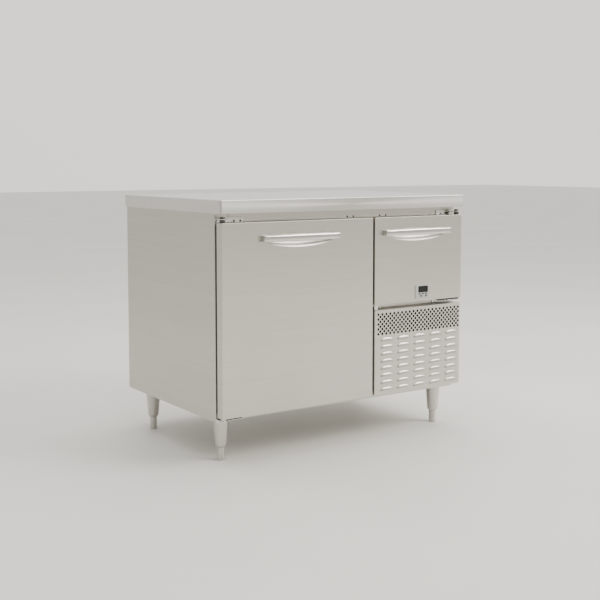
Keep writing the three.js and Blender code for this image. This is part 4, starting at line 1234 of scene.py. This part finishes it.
# %% Model one screw
SCREW_RADIUS, SCREW_HEIGHT = 3.4, 1.7
SCREW_RIM = 0.35
CROSS_REACH, CROSS_HALF, CROSS_DEPTH = 1.9, 0.42, 0.9


def make_screw():
    """A domed head, with the two arms of its cross cut out of it."""
    dome_steps = 4
    profile = [(0.0, -0.6), (SCREW_RADIUS, -0.6), (SCREW_RADIUS, SCREW_RIM * SCREW_HEIGHT)]
    for step in range(1, dome_steps + 1):
        turn = math.pi / 2 * step / dome_steps
        radius = SCREW_RADIUS * math.cos(turn) if step < dome_steps else 0.0
        profile.append((radius, SCREW_HEIGHT * (SCREW_RIM + (1 - SCREW_RIM) * math.sin(turn))))
    head = turned("screw", profile, (0, 0, 0), "Z", dark_steel, 24)
    arms = [solid_box("arm", -x, x, -y, y, SCREW_HEIGHT - CROSS_DEPTH, SCREW_HEIGHT + 1)
            for x, y in ((CROSS_REACH, CROSS_HALF), (CROSS_HALF, CROSS_REACH))]
    return carved(head, dark_steel, *arms)


SCREW = make_screw()
print("faces of one screw:", len(SCREW.data.polygons))


# %% Build the tree that sets them out
def build_set_out():
    """Copies on a piece's own points, each facing as its point says and turned by a random amount."""
    tree, start, end = geometry_tree("set out", [
        ("Part", "Object", None), ("Seed", "Int", 7), ("Finish", "Material", None)])
    points = add(tree, "GeometryNodeMeshToPoints", Mesh=start["Geometry"])
    facing = add(tree, "GeometryNodeInputNamedAttribute", {"data_type": "FLOAT_VECTOR"}, Name="facing")
    aligned = add(tree, "FunctionNodeAlignRotationToVector", {"axis": "Z"},
                  Vector=facing.outputs["Attribute"])
    spin = add(tree, "FunctionNodeRandomValue", {"data_type": "FLOAT"}, Seed=start["Seed"])
    turn = add(tree, "ShaderNodeCombineXYZ", Z=math_node(tree, "MULTIPLY", spin.outputs[1], math.pi))
    both = add(tree, "FunctionNodeRotateRotation", {"rotation_space": "LOCAL"}, Rotation=aligned.outputs[0],
               Rotate_By=turn.outputs[0])
    part = add(tree, "GeometryNodeObjectInfo", {"transform_space": "ORIGINAL"}, Object=start["Part"])
    copies = add(tree, "GeometryNodeInstanceOnPoints", Points=points.outputs[0],
                 Instance=part.outputs["Geometry"], Rotation=both.outputs[0])
    end_tree(tree, end, copies.outputs[0], start["Finish"])
    return tree


SET_OUT = build_set_out()
print("tree:", SET_OUT.name)


# %% Set out the screws
def screws(name, body, slot, places):
    """Screws at (point, direction) pairs, in millimetres."""
    piece = empty_piece(name)
    piece.data.from_pydata([Vector(p) * MM for p, _ in places], [], [])
    facing = piece.data.attributes.new("facing", "FLOAT_VECTOR", "POINT")
    for item, (_, direction) in zip(facing.data, places):
        item.vector = direction
    grow(piece, SET_OUT, Part=SCREW, Finish=dark_steel)
    return place(finished(piece), body, slot)


FRONT, BACK = (0, -1, 0), (0, 1, 0)
BRACKET_PLATE = 3.0
SPARE_SCREWS_X = (16.8, 42.1, 157.9, 184.7)
SPARE_SCREWS_Z = 782.5
BRACKET_SCREWS_X = (-434.2, -410.2, 437.0, 463.0)
BRACKET_SCREWS_Z = 782.0
LOWER_SCREWS = ((-471.5, 146.0), (471.5, 463.6))
BACK_SCREW_INSET = 14.0
BACK_SCREW_COLUMNS = 6
BACK_SCREW_LEVELS = (320, 480, 640)

rail_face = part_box("top_rail")[0].y / MM
plate_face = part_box("main_door_top_bracket")[1].y / MM - BRACKET_PLATE
lower_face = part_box("main_door_bottom_bracket")[1].y / MM - BRACKET_PLATE
front_screws = [((x, rail_face, SPARE_SCREWS_Z), FRONT) for x in SPARE_SCREWS_X]
front_screws += [((x, plate_face, BRACKET_SCREWS_Z), FRONT) for x in BRACKET_SCREWS_X]
front_screws += [((x, lower_face, z), FRONT) for x, z in LOWER_SCREWS]
screws("front_screws", "cabinet", "stainless_polished", front_screws)

back_low, back_high = millimetre_box("back_panel")
back_left, back_right = back_low[0] + BACK_SCREW_INSET, back_high[0] - BACK_SCREW_INSET
back_screws = []
for i in range(BACK_SCREW_COLUMNS):
    x = back_left + (back_high[0] - back_low[0] - 2 * BACK_SCREW_INSET) * i / (BACK_SCREW_COLUMNS - 1)
    for z in (back_low[2] + 12, back_high[2] - BACK_SCREW_INSET):
        back_screws.append(((x, back_high[1], z), BACK))
for z in BACK_SCREW_LEVELS:
    back_screws += [((x, back_high[1], z), BACK) for x in (back_left, back_right)]
screws("back_screws", "cabinet", "stainless_polished", back_screws)
print("screws:", len(front_screws) + len(back_screws))

# %% [markdown]
# ## Controller
# The thermostat is a moulded bezel set into the small door, with a dark window and five soft keys. The
# corners of the mould are round and the window is set a little deep. Each key rides on its own body, so
# it can be pressed. The keys end short of the door's skin, and don't touch it when they go in.


# %% Mould the controller
def rounded_block(name, x0, x1, z0, z1, y_front, y_back, corner, edge, material):
    """A block with round corners in front view and a rounded front edge."""
    rings = [[(x, y_back, z) for x, z in rounded_rectangle(x0, x1, z0, z1, corner)]]
    for step in range(5):
        turn = math.radians(90 * step / 4)
        inset = edge * (1 - math.cos(turn))
        plan = rounded_rectangle(x0 + inset, x1 - inset, z0 + inset, z1 - inset, max(corner - inset, 0.2))
        rings.append([(x, y_front + edge * (1 - math.sin(turn)), z) for x, z in plan])
    return stacked(name, rings, material)


KEYS = range(1, 6)
POCKET_GAP = 0.3
KEY_CLEAR_OF_DOOR = 1.4
BODY_INSET = 4.2


def pocket(node, front, depth, corner):
    """A tool that cuts room for one solid into the bezel, with a small gap all round."""
    low, high = millimetre_box(node)
    return rounded_block("pocket", low[0] - POCKET_GAP, high[0] + POCKET_GAP, low[2] - POCKET_GAP,
                         high[2] + POCKET_GAP, front - 2, front + depth, corner, 0.1, grey_plastic)


def make_controller():
    (x0, y0, z0), (x1, y1, z1) = millimetre_box("controller_bezel")
    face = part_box("upper_door_skin")[0].y / MM
    bezel = rounded_block("controller_frame", x0, x1, z0, z1, y0, face - 0.1, 3.0, 1.0, grey_plastic)
    tools = [pocket("controller_display", y0, 1.5, 1.5)]
    tools += [pocket(f"controller_key_{i}", y0, 1.8, 1.4) for i in KEYS]
    carved(bezel, grey_plastic, *tools)
    body = rounded_block("controller_body", x0 + BODY_INSET, x1 - BODY_INSET, z0 + BODY_INSET,
                         z1 - BODY_INSET, face, y1, 2.0, 0.5, grey_plastic)
    bezel = joined("controller_frame", [bezel, body])
    place(bezel, "upper_door", "grey_plastic", "controller_bezel")
    low, high = millimetre_box("controller_display")
    window = rounded_block("controller_window", low[0], high[0], low[2], high[2], low[1], high[1], 1.4, 0.4,
                           lens_plastic)
    place(window, "upper_door", "display_lens", "controller_display")
    for i in KEYS:
        low, high = millimetre_box(f"controller_key_{i}")
        key = rounded_block(f"key_{i}_cap", low[0], high[0], low[2], high[2], low[1],
                            face - KEY_CLEAR_OF_DOOR, 1.3, 0.5, key_rubber)
        place(key, f"key_{i}", "black_plastic", f"controller_key_{i}")


make_controller()

# %% [markdown]
# ## Window segments
# Behind the dark window sit three seven-segment digits. Switched off, they show only as slightly paler
# bars. A tree lays the bars of each digit on points, from a list of where the seven bars lie.


# %% Lay out the segments
segment_finish = mottled("unlit segment", (0.012, 0.0125, 0.013), 0.4, 400.0, 0.1, 0.02)
SEGMENT_TIP, SEGMENT_SHOULDER, SEGMENT_HALF = 2.3, 1.8, 0.5
DIGIT_HALF = 2.6
DIGIT_PITCH = 11.5


def make_digits():
    (x0, y0, z0), (x1, _, z1) = millimetre_box("controller_display")
    outline = [(-SEGMENT_TIP, 0), (-SEGMENT_SHOULDER, -SEGMENT_HALF), (SEGMENT_SHOULDER, -SEGMENT_HALF),
               (SEGMENT_TIP, 0), (SEGMENT_SHOULDER, SEGMENT_HALF), (-SEGMENT_SHOULDER, SEGMENT_HALF)]
    segment = extruded("segment", outline, -0.06, 0.06, X_Z, segment_finish)
    bars = [(0, up * 2 * DIGIT_HALF, 0) for up in (1, 0, -1)]
    bars += [(side * DIGIT_HALF, up * DIGIT_HALF, 1) for up in (1, -1) for side in (-1, 1)]
    piece = empty_piece("controller_digits")
    points, turns = [], []
    for digit in (-1, 0, 1):
        middle = (x0 + x1) / 2 + digit * DIGIT_PITCH
        for across, up, upright in bars:
            points.append(Vector((middle + across, y0 - 0.02, (z0 + z1) / 2 + up)) * MM)
            turns.append((0.0, math.pi / 2 * upright, 0.0))
    piece.data.from_pydata(points, [], [])
    turning = piece.data.attributes.new("turn", "FLOAT_VECTOR", "POINT")
    for item, value in zip(turning.data, turns):
        item.vector = value
    tree, start, end = geometry_tree("segments", [("Part", "Object", None), ("Finish", "Material", None)])
    dots = add(tree, "GeometryNodeMeshToPoints", Mesh=start["Geometry"])
    turn = add(tree, "GeometryNodeInputNamedAttribute", {"data_type": "FLOAT_VECTOR"}, Name="turn")
    part = add(tree, "GeometryNodeObjectInfo", {"transform_space": "ORIGINAL"}, Object=start["Part"])
    copies = add(tree, "GeometryNodeInstanceOnPoints", Points=dots.outputs[0],
                 Instance=part.outputs["Geometry"], Rotation=turn.outputs["Attribute"])
    end_tree(tree, end, copies.outputs[0], start["Finish"])
    grow(piece, tree, Part=segment, Finish=segment_finish)
    discard(segment)
    return place(finished(piece), "upper_door", "display_lens")


make_digits()

# %% [markdown]
# ## Legs and feet
# Kitchen legs are turned tubes that narrow downwards, with a foot that screws in and out for levelling.
# A lathe shape is enough: a profile of radii and heights turned about the leg's axis. The foot has a
# shallow groove, where a hand can grip it.

# %% Turn the legs
CORNERS = ("front_left", "front_right", "back_left", "back_right")
LEG_PROFILE = [(0, 112.0), (11.6, 112.0), (11.6, 44.4), (12.2, 43.8), (14.0, 43.8), (15.2, 44.4),
               (16.8, 46.6), (18.4, 50.2), (19.3, 55.0), (19.8, 60.0), (25.4, 131.5), (26.0, 134.6),
               (26.0, 139.2), (25.5, 139.7), (0, 139.7)]
FOOT_PROFILE = [(0, 0), (11.2, 0), (12.4, 0.5), (13.0, 1.7), (13.0, 12.0), (12.4, 12.8), (12.4, 14.6),
                (13.0, 15.4), (13.0, 42.6), (12.2, 43.5), (11.0, 43.5), (11.0, 105.4), (10.4, 106.0),
                (0, 106.0)]

for corner in CORNERS:
    low, high = millimetre_box(corner + "_leg")
    centre = ((low[0] + high[0]) / 2, (low[1] + high[1]) / 2, 0)
    leg = turned(corner + "_sleeve", LEG_PROFILE, centre, "Z", turned_steel, 64)
    place(leg, "cabinet", "stainless_brushed", corner + "_leg")
    foot = turned(corner + "_glide", FOOT_PROFILE, centre, "Z", turned_steel, 48)
    place(foot, corner + "_foot", "stainless_brushed", corner + "_foot")

# %% [markdown]
# ## Back panel
# Warm air leaves through the back. The two columns of slots have pressed hoods like the front ones, made
# with the same trees and other numbers. The cord leaves through a moulded gland.


# %% Make the back panel
VENT_WIDTH, VENT_HEIGHT, VENT_REACH = 90.0, 12.0, 4.0
VENT_COLUMNS, VENT_ROWS = 2, 8
VENT_PITCH_X, VENT_PITCH_Z = 120.0, 24.0
VENT_MIDDLE_X, LOWEST_VENT_Z = 295.0, 234.0


def make_back():
    low, high = millimetre_box("back_panel")
    panel = solid_box("back_sheet", low[0], high[0], low[1], high[1], low[2], high[2])
    gland_low, gland_high = millimetre_box("power_cord_gland")
    gland_x, gland_z = (gland_low[0] + gland_high[0]) / 2, (gland_low[2] + gland_high[2]) / 2
    bore = [(8.3, low[1] - 4), (8.3, high[1] + 4)]
    gland_hole = turned("gland hole", bore, (gland_x, 0, gland_z), "Y", door_steel, 24)
    half, bottom = VENT_WIDTH / 2, -VENT_HEIGHT / 2
    slit = solid_box("slit punch", -half + 3, half - 3, -5, 5, bottom + 0.5, bottom + 5.5)
    hood = louvre("hood", VENT_WIDTH, VENT_HEIGHT, VENT_REACH, outward=1)
    middle_z = LOWEST_VENT_Z + (VENT_ROWS - 1) / 2 * VENT_PITCH_Z
    field = {"Columns": VENT_COLUMNS, "Rows": VENT_ROWS, "Finish": door_steel,
             "Pitch_X": VENT_PITCH_X * MM, "Pitch_Z": VENT_PITCH_Z * MM,
             "Centre": Vector((VENT_MIDDLE_X, high[1], middle_z)) * MM}
    grow(panel, PUNCHED, Part=slit, **field)
    grow(panel, PRESSED, Part=hood, **field)
    carved(panel, door_steel, gland_hole)
    discard(slit, hood)
    return finished(panel), (gland_x, gland_z), high[1]


back_sheet, (gland_x, gland_z), back_face = make_back()
place(back_sheet, "cabinet", "stainless_brushed", "back_panel")
GLAND_PROFILE = [(0, -14.0), (7.6, -14.0), (8.0, -13.0), (8.0, 0.3), (13.0, 0.3), (13.0, 2.6), (12.2, 3.8),
                 (10.4, 4.5), (9.4, 4.7), (5.6, 4.7), (4.6, 3.6), (4.4, -4.0), (0, -4.0)]
gland = turned("cord_gland", GLAND_PROFILE, (gland_x, back_face, gland_z), "Y", black_plastic, 40)
place(gland, "cabinet", "black_plastic", "power_cord_gland")

# %% [markdown]
# ## Coils
# Both coils are copper hairpins pushed through a stack of thin aluminium fins. The fins are copies of one
# thin plate on a line of points, a hundred of them, and each hairpin is a bent rod whose ends show at
# the sides of the stack. The size comes from the plain block that it stands for.


# %% Stack the fins and bend the tubes
def build_fins():
    tree, start, end = geometry_tree("stack of fins", [
        ("Count", "Int", 100), ("Pitch", "Float", 0.003), ("Size", "Vector", (0.0003, 0.04, 0.2)),
        ("Start", "Vector", (0, 0, 0)), ("Finish", "Material", None)])
    step = add(tree, "ShaderNodeCombineXYZ", X=start["Pitch"])
    line = add(tree, "GeometryNodeMeshLine", Count=start["Count"], Start_Location=start["Start"],
               Offset=step.outputs[0])
    plate = add(tree, "GeometryNodeMeshCube", Size=start["Size"])
    copies = add(tree, "GeometryNodeInstanceOnPoints", Points=line.outputs[0], Instance=plate.outputs[0])
    end_tree(tree, end, copies.outputs[0], start["Finish"])
    return tree


FINS = build_fins()


def make_coil(name, node, pitch, rows, fin_finish):
    (x0, y0, z0), (x1, y1, z1) = millimetre_box(node)
    bend = 9.0
    left, right = x0 + bend + 2, x1 - bend - 2
    count = int((right - left) / pitch)
    step = (right - left) / count
    fins = grow(empty_piece("fins"), FINS, Count=count + 1, Pitch=step * MM,
                Size=Vector((0.35, y1 - y0, z1 - z0)) * MM,
                Start=Vector((left, (y0 + y1) / 2, (z0 + z1) / 2)) * MM, Finish=fin_finish)
    plates = [solid_box("plate", x, x + 1.2, y0, y1, z0, z1, zinc, 0.3 * MM)
              for x in (left - 1.6, right + 0.6)]
    tubes = []
    rise = (z1 - z0) / rows
    for y in (y0 + (y1 - y0) * 0.28, y0 + (y1 - y0) * 0.72):
        points = []
        for row in range(rows):
            z = z0 + (row + 0.5) * rise
            ends = [(x0 + 3, y, z), (x1 - 3, y, z)]
            points += ends if row % 2 == 0 else ends[::-1]
        tubes.append(bent_rod("tube", points, 3.0, min(rise / 2 - 0.2, bend - 1.5), copper, sides=8))
    shape = bmesh.new()
    finishes = [fin_finish, zinc, copper]
    for piece, finish in [(fins, 0), (plates[0], 1), (plates[1], 1), (tubes[0], 2), (tubes[1], 2)]:
        first = len(shape.faces)
        shape.from_mesh(piece.data)
        shape.faces.ensure_lookup_table()
        for face in shape.faces[first:]:
            face.material_index = finish
    discard(fins, *plates, *tubes)
    coil = from_bmesh(name, shape, finishes[0], recalculate=False)
    for finish in finishes[1:]:
        coil.data.materials.append(finish)
    return finished(coil)


# Black-painted fins, as many condensers have; the black also paints the shade seen through the front holes.
coil = make_coil("condenser_stack", "condenser_coil", 3.2, 10, black_paint)
place(coil, "cabinet", "black_paint", "condenser_coil")
print("condenser faces:", len(coil.data.polygons))
coil = make_coil("evaporator_stack", "evaporator_coil", 4.0, 6, fin_aluminium)
place(coil, "cabinet", "fin_aluminium", "evaporator_coil")

# %% [markdown]
# ## Fans and motors
# A moulded fan has twisted blades: steep at the hub and flatter at the tip. One blade is a small curved
# sheet with thickness, and a tree turns copies of it round the hub. The fan is its own body, since it spins.


# %% Build the wheel tree
def build_wheel():
    tree, start, end = geometry_tree("wheel of blades", [
        ("Part", "Object", None), ("Count", "Int", 5), ("Centre", "Vector", (0, 0, 0)),
        ("Finish", "Material", None)])
    points = add(tree, "GeometryNodePoints", Count=start["Count"], Position=start["Centre"])
    index = add(tree, "GeometryNodeInputIndex")
    share = math_node(tree, "DIVIDE", index.outputs[0], start["Count"])
    turn = add(tree, "ShaderNodeCombineXYZ", Y=math_node(tree, "MULTIPLY", share, 2 * math.pi))
    part = add(tree, "GeometryNodeObjectInfo", {"transform_space": "ORIGINAL"}, Object=start["Part"])
    copies = add(tree, "GeometryNodeInstanceOnPoints", Points=points.outputs[0],
                 Instance=part.outputs["Geometry"], Rotation=turn.outputs[0])
    end_tree(tree, end, copies.outputs[0], start["Finish"])
    return tree


WHEEL = build_wheel()
print("tree:", WHEEL.name)


# %% Mould the fans
def make_fan(name, node, hub, blades):
    low, high = millimetre_box(node)
    centre = [(a + b) / 2 for a, b in zip(low, high)]
    tip = (high[0] - low[0]) / 2
    deep = high[1] - low[1]
    shape = bmesh.new()
    across, along = 8, 8
    sides = []
    for face_side in (0.7, -0.7):
        rows = []
        for j in range(along + 1):
            radius = hub - 1.5 + (tip - 0.6 - hub + 1.5) * j / along
            half_arc = (0.34 + 0.2 * math.sin(math.pi * j / along * 0.8))
            pitch = (deep / 2 - 1.4) * (1.0 - 0.25 * j / along)
            row = []
            for i in range(across + 1):
                s = 2 * i / across - 1
                turn = half_arc * s + 0.22 * (j / along) ** 1.5
                y = pitch * math.sin(s * math.pi / 2 * 0.9) + face_side
                point = Vector((radius * math.sin(turn), y, radius * math.cos(turn)))
                row.append(shape.verts.new(point * MM))
            rows.append(row)
        sides.append(rows)
    for j in range(along):
        for i in range(across):
            for rows in sides:
                shape.faces.new((rows[j][i], rows[j][i + 1], rows[j + 1][i + 1], rows[j + 1][i]))
    edge = [(j, 0) for j in range(along + 1)] + [(along, i) for i in range(1, across + 1)]
    edge += [(j, across) for j in range(along - 1, -1, -1)] + [(0, i) for i in range(across - 1, 0, -1)]
    for (j, i), (k, m) in zip(edge, edge[1:] + edge[:1]):
        shape.faces.new((sides[0][j][i], sides[0][k][m], sides[1][k][m], sides[1][j][i]))
    blade = finished(from_bmesh("blade", shape, black_plastic), angle=50)
    wheel = grow(empty_piece("wheel"), WHEEL, Part=blade, Count=blades, Centre=Vector(centre) * MM,
                 Finish=black_plastic)
    y0, y1 = low[1], high[1]
    hub_profile = [(0, y0), (hub * 0.55, y0), (hub * 0.85, y0 + 1.2), (hub, y0 + 4), (hub, y1 - 1),
                   (hub - 1, y1), (0, y1)]
    cap = turned("hub", hub_profile, (centre[0], 0, centre[2]), "Y", black_plastic, 40)
    discard(blade)
    return joined(name, [wheel, cap])


for node, hub in (("condenser_fan", 26.0), ("evaporator_fan", 14.0)):
    place(make_fan(node + "_wheel", node, hub, 5), node, "black_plastic", node)


# %% [markdown]
# ## Motors and compressor
# A small fan motor is a ribbed can, and the compressor is a pot of two pressed halves with a welded seam.
# Both are turned shapes with a block or two to stand on.


# %% Turn the motors and the compressor
def make_motor(name, node, radius, length, on_foot):
    """A ribbed motor body behind its fan, on a post and foot or held by one crosswise arm."""
    low, high = millimetre_box(node)
    fan_low, fan_high = millimetre_box(node.replace("_motor", ""))
    x, z = (fan_low[0] + fan_high[0]) / 2, (fan_low[2] + fan_high[2]) / 2
    front, back = high[1] - length, high[1]
    profile = [(0, front), (radius * 0.3, front), (radius * 0.34, front + 3), (radius * 0.8, front + 4),
               (radius, front + 9)]
    rib = front + 14
    while rib < back - 12:
        profile += [(radius, rib), (radius - 1.4, rib + 1), (radius - 1.4, rib + 2.5), (radius, rib + 3.5)]
        rib += 8
    profile += [(radius, back - 6), (radius * 0.86, back), (0, back)]
    parts = [turned("motor body", profile, (x, 0, z), "Y", black_paint, 40)]
    floor = low[2]
    if on_foot:
        blocks = [("post", 12, 20, 40, z - 20, 1.0), ("foot", 40, 10, 50, floor + 3, 0.8)]
        for part, half, start, end, top, edge in blocks:
            parts.append(solid_box(part, x - half, x + half, front + start, front + end, floor, top,
                                   black_paint, edge * MM))
    else:
        parts.append(solid_box("arm", low[0], high[0], front + 19, front + 23, z - 7, z + 7,
                               black_paint, 0.6 * MM))
    return joined(name, parts)


for fan, radius, length, on_foot in (("condenser", 36.0, 62.0, True), ("evaporator", 18.0, 36.0, False)):
    node = fan + "_fan_motor"
    place(make_motor(fan + "_motor", node, radius, length, on_foot), "cabinet", "black_paint", node)


POT_BOWL = [(0, -1), (68, -1), (76, 2), (84, 10), (88.5, 19), (90, 30)]
POT_SEAM = [(90, 86), (91, 88), (94, 90), (94.3, 93), (94, 97), (91, 99), (89.5, 101)]
POT_SHOULDER_RADIUS, POT_SHOULDER_HEIGHT = 88.0, 150.0
POT_DOME_RISE = 40.0
POT_CROWN = [(22, 196), (0, 198)]
POT_PLATE = 10.0


def make_compressor():
    """A pot of two pressed halves with a welded seam, on a thick plate."""
    low, high = millimetre_box("compressor")
    x, y = (low[0] + high[0]) / 2, (low[1] + high[1]) / 2
    floor = low[2] + POT_PLATE
    profile = POT_BOWL + POT_SEAM + [(POT_SHOULDER_RADIUS, POT_SHOULDER_HEIGHT)]
    for step in range(1, 8):
        turn = math.radians(90 * step / 7)
        radius = POT_SHOULDER_RADIUS / 2 * (1 + math.cos(turn))
        profile.append((radius, POT_SHOULDER_HEIGHT + POT_DOME_RISE * math.sin(turn)))
    profile += POT_CROWN
    pot = turned("pot", profile, (x, y, floor), "Z", black_paint, 64)
    plate = solid_box("plate", low[0], high[0], low[1], high[1], low[2], floor, black_paint, 2.0 * MM, 3)
    return joined("compressor_pot", [pot, plate])


place(make_compressor(), "cabinet", "black_paint", "compressor")

# %% [markdown]
# ## Machine bay fittings
# The shroud, the tray, the relay box, the evaporation pan and the evaporator's cover keep the shapes of the
# plain solids, with their edges broken and their own finishes. The plain foam body stays and only gets a
# finish. Four small pieces have no plain solid: a folded zinc sheet that lines the bay, a black foam sheet
# behind the round holes that paints the shade inside them, a black pad round the small door's lower pin
# that paints the shade in the gap under the door, and a stop that it closes on.

# %% Soften the fittings
for node, name, finish, slot, edge in (
    ("condenser_shroud", "shroud", black_paint, "black_paint", 0.7),
    ("machine_tray", "tray", zinc, "galvanised_steel", 0.4),
    ("electrical_box", "relay_box", grey_plastic, "grey_plastic", 2.5),
    ("evaporation_pan", "drip_pan", black_plastic, "black_plastic", 0.8),
    ("evaporator_cover", "evaporator_hood", liner_steel, "liner_steel", 0.6),
):
    place(softened(name, node, finish, edge * MM, 3), "cabinet", slot, node)
body_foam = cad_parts["body_insulation"].data.materials
body_foam.clear()
body_foam.append(foam_finish)

BAY_CORNERS = [(137.9, 192.5), (137.9, 454.2), (489.0, 454.2)]
BAY_DEPTH = (-265.0, 345.0)
# A black pad that paints the shade of the gap under the small door.
GAP_SHADE_PAD = (404.0, 499.0, -328.0, -294.5, 469.3, 474.2)
CLOSING_STOP = (105.5, 121.0, -330.0, -290.5, 457.5, 469.5)
# A black sheet behind the round holes that paints the shade inside the bay.
HOLE_SHADE_SHEET = (114.0, 492.0, -326.0, -318.0, 364.0, 447.0)

bay_sheet = extruded("bay_lining", folded_loop(BAY_CORNERS, -0.8, 2.0), *BAY_DEPTH, X_Z, zinc)
place(bay_sheet, "cabinet", "galvanised_steel")
for name, block, finish, slot, edge in (
    # The black pad is painted shade for the gap under the small door.
    ("hinge_wear_pad", GAP_SHADE_PAD, black_plastic, "black_plastic", 0.8),
    ("closing_stop", CLOSING_STOP, fitting_steel, "stainless_polished", 0.8),
    # The black sheet behind the holes is painted shade.
    ("intake_filter", HOLE_SHADE_SHEET, hole_shade_foam, "black_plastic", 1.5),
):
    place(solid_box(name, *block, finish, edge * MM), "cabinet", slot)


# %% [markdown]
# ## Fan guard
# A ring of wires keeps fingers out of the evaporator's fan. The rings are bent rods, and four spokes tie
# them together.


# %% Bend the guard
GUARD_RINGS = (16, 24, 32, 40, 48, 55)
SPOKE_ENDS = (14, 58)


def make_guard():
    low, high = millimetre_box("evaporator_fan")
    x, z = (low[0] + high[0]) / 2, (low[2] + high[2]) / 2
    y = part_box("evaporator_cover")[0].y / MM - 1.6
    parts = []
    for radius in GUARD_RINGS:
        turns = [math.pi * i / 20 for i in range(40)]
        points = [(x + radius * math.cos(turn), y, z + radius * math.sin(turn)) for turn in turns]
        parts.append(bent_rod("ring", points, 1.1, 1.0, wire_steel, closed=True, sides=8))
    for quarter in range(4):
        turn = (2 * quarter + 1) * math.pi / 4
        ends = [(x + reach * math.cos(turn), y - 1.2, z + reach * math.sin(turn)) for reach in SPOKE_ENDS]
        parts.append(bent_rod("spoke", ends, 1.2, 1.0, wire_steel, sides=8))
    return joined("fan_guard", parts)


place(make_guard(), "cabinet", "stainless_polished")
discard(SCREW)

# %% [markdown]
# ## Floor
# The fridge stands on a plain pale floor, which is wide enough to run out of sight. A faint cloud in its
# colour keeps it from looking like paper.


# %% Lay the floor
FLOOR_COLOR = (0.80, 0.785, 0.745)
FLOOR_HALF = 30.0


def make_floor():
    material, tree, shader, where = new_material("pale floor")
    cloud = noise(tree, where, 1.3, 3.0, 0.5)
    tinted(tree, shader, FLOOR_COLOR, span(tree, cloud, 0.3, 0.7, 0.97, 1.03))
    shader.inputs["Roughness"].default_value = 0.55
    shape = bmesh.new()
    bmesh.ops.create_grid(shape, x_segments=2, y_segments=2, size=FLOOR_HALF)
    floor = from_bmesh("floor", shape, material)
    if floor.data.polygons[0].normal.z < 0:
        floor.data.flip_normals()
    return floor


floor = make_floor()
print("floor, metres across:", 2 * FLOOR_HALF)

# %% [markdown]
# ## Light
# Polished metal shows what is round it, so the lights are large and soft: a wide one from the front right,
# a weaker one above, and a pale sky that fills the shadows. The sky is brighter above and towards the
# right and the back, on the window side of the room.


# %% Set the lights
def area_light(name, place_at, aim, size, power, color):
    light = bpy.data.lights.new(name, "AREA")
    light.shape = "RECTANGLE"
    light.size, light.size_y = size
    light.energy = power
    light.color = color
    holder = bpy.data.objects.new(name, light)
    holder.location = place_at
    holder.rotation_euler = (Vector(aim) - Vector(place_at)).to_track_quat("-Z", "Y").to_euler()
    bpy.context.scene.collection.objects.link(holder)
    return holder


WINDOW_SIDE = (0.6, 0.5, 0.5)
SKY_COLOR = (0.80, 0.785, 0.75)
SKY_DIM, SKY_BRIGHT = 0.4, 1.75
SKY_TURN = 0.7


def make_sky():
    """A pale surround that is brighter on the window side of the room."""
    world = bpy.data.worlds.new("pale room")
    bpy.context.scene.world = world
    world.use_nodes = True
    tree = world.node_tree
    background = tree.nodes["Background"]
    background.inputs["Color"].default_value = (*SKY_COLOR, 1.0)
    direction = tree.nodes.new("ShaderNodeTexCoord").outputs["Generated"]
    towards = tree.nodes.new("ShaderNodeVectorMath")
    towards.operation = "DOT_PRODUCT"
    towards.inputs[1].default_value = WINDOW_SIDE
    tree.links.new(direction, towards.inputs[0])
    strength = span(tree, towards.outputs["Value"], -SKY_TURN, SKY_TURN, SKY_DIM, SKY_BRIGHT)
    tree.links.new(strength, background.inputs["Strength"])


area_light("window light", (3.2, -3.4, 3.6), (0.0, 0.0, 0.4), (3.2, 2.2), 250.0, (1.0, 0.97, 0.92))
area_light("overhead light", (0.3, 0.6, 4.2), (0.3, 0.0, 0.5), (4.0, 4.0), 90.0, (1.0, 0.985, 0.96))
make_sky()
print("lights:", [(light.name, light.energy) for light in bpy.data.lights])

# %% [markdown]
# ## Camera
# The camera has a long lens and stands at the front left, a little above the worktop. Its vertical shift
# keeps the uprights nearly parallel, which a steeper tilt would not.

# %% Stand the camera
camera_data = bpy.data.cameras.new("camera")
camera_data.sensor_width = 36.0
camera_data.lens = 62.62
camera_data.shift_y = -0.0917
camera = bpy.data.objects.new("camera", camera_data)
camera.location = (-2.1163, -3.1474, 0.9668)
camera.rotation_euler = (math.pi / 2 - 0.079, 0.0, -0.596)
bpy.context.scene.collection.objects.link(camera)
bpy.context.scene.camera = camera
print("camera:", [round(v, 2) for v in camera.location], "lens", camera_data.lens)
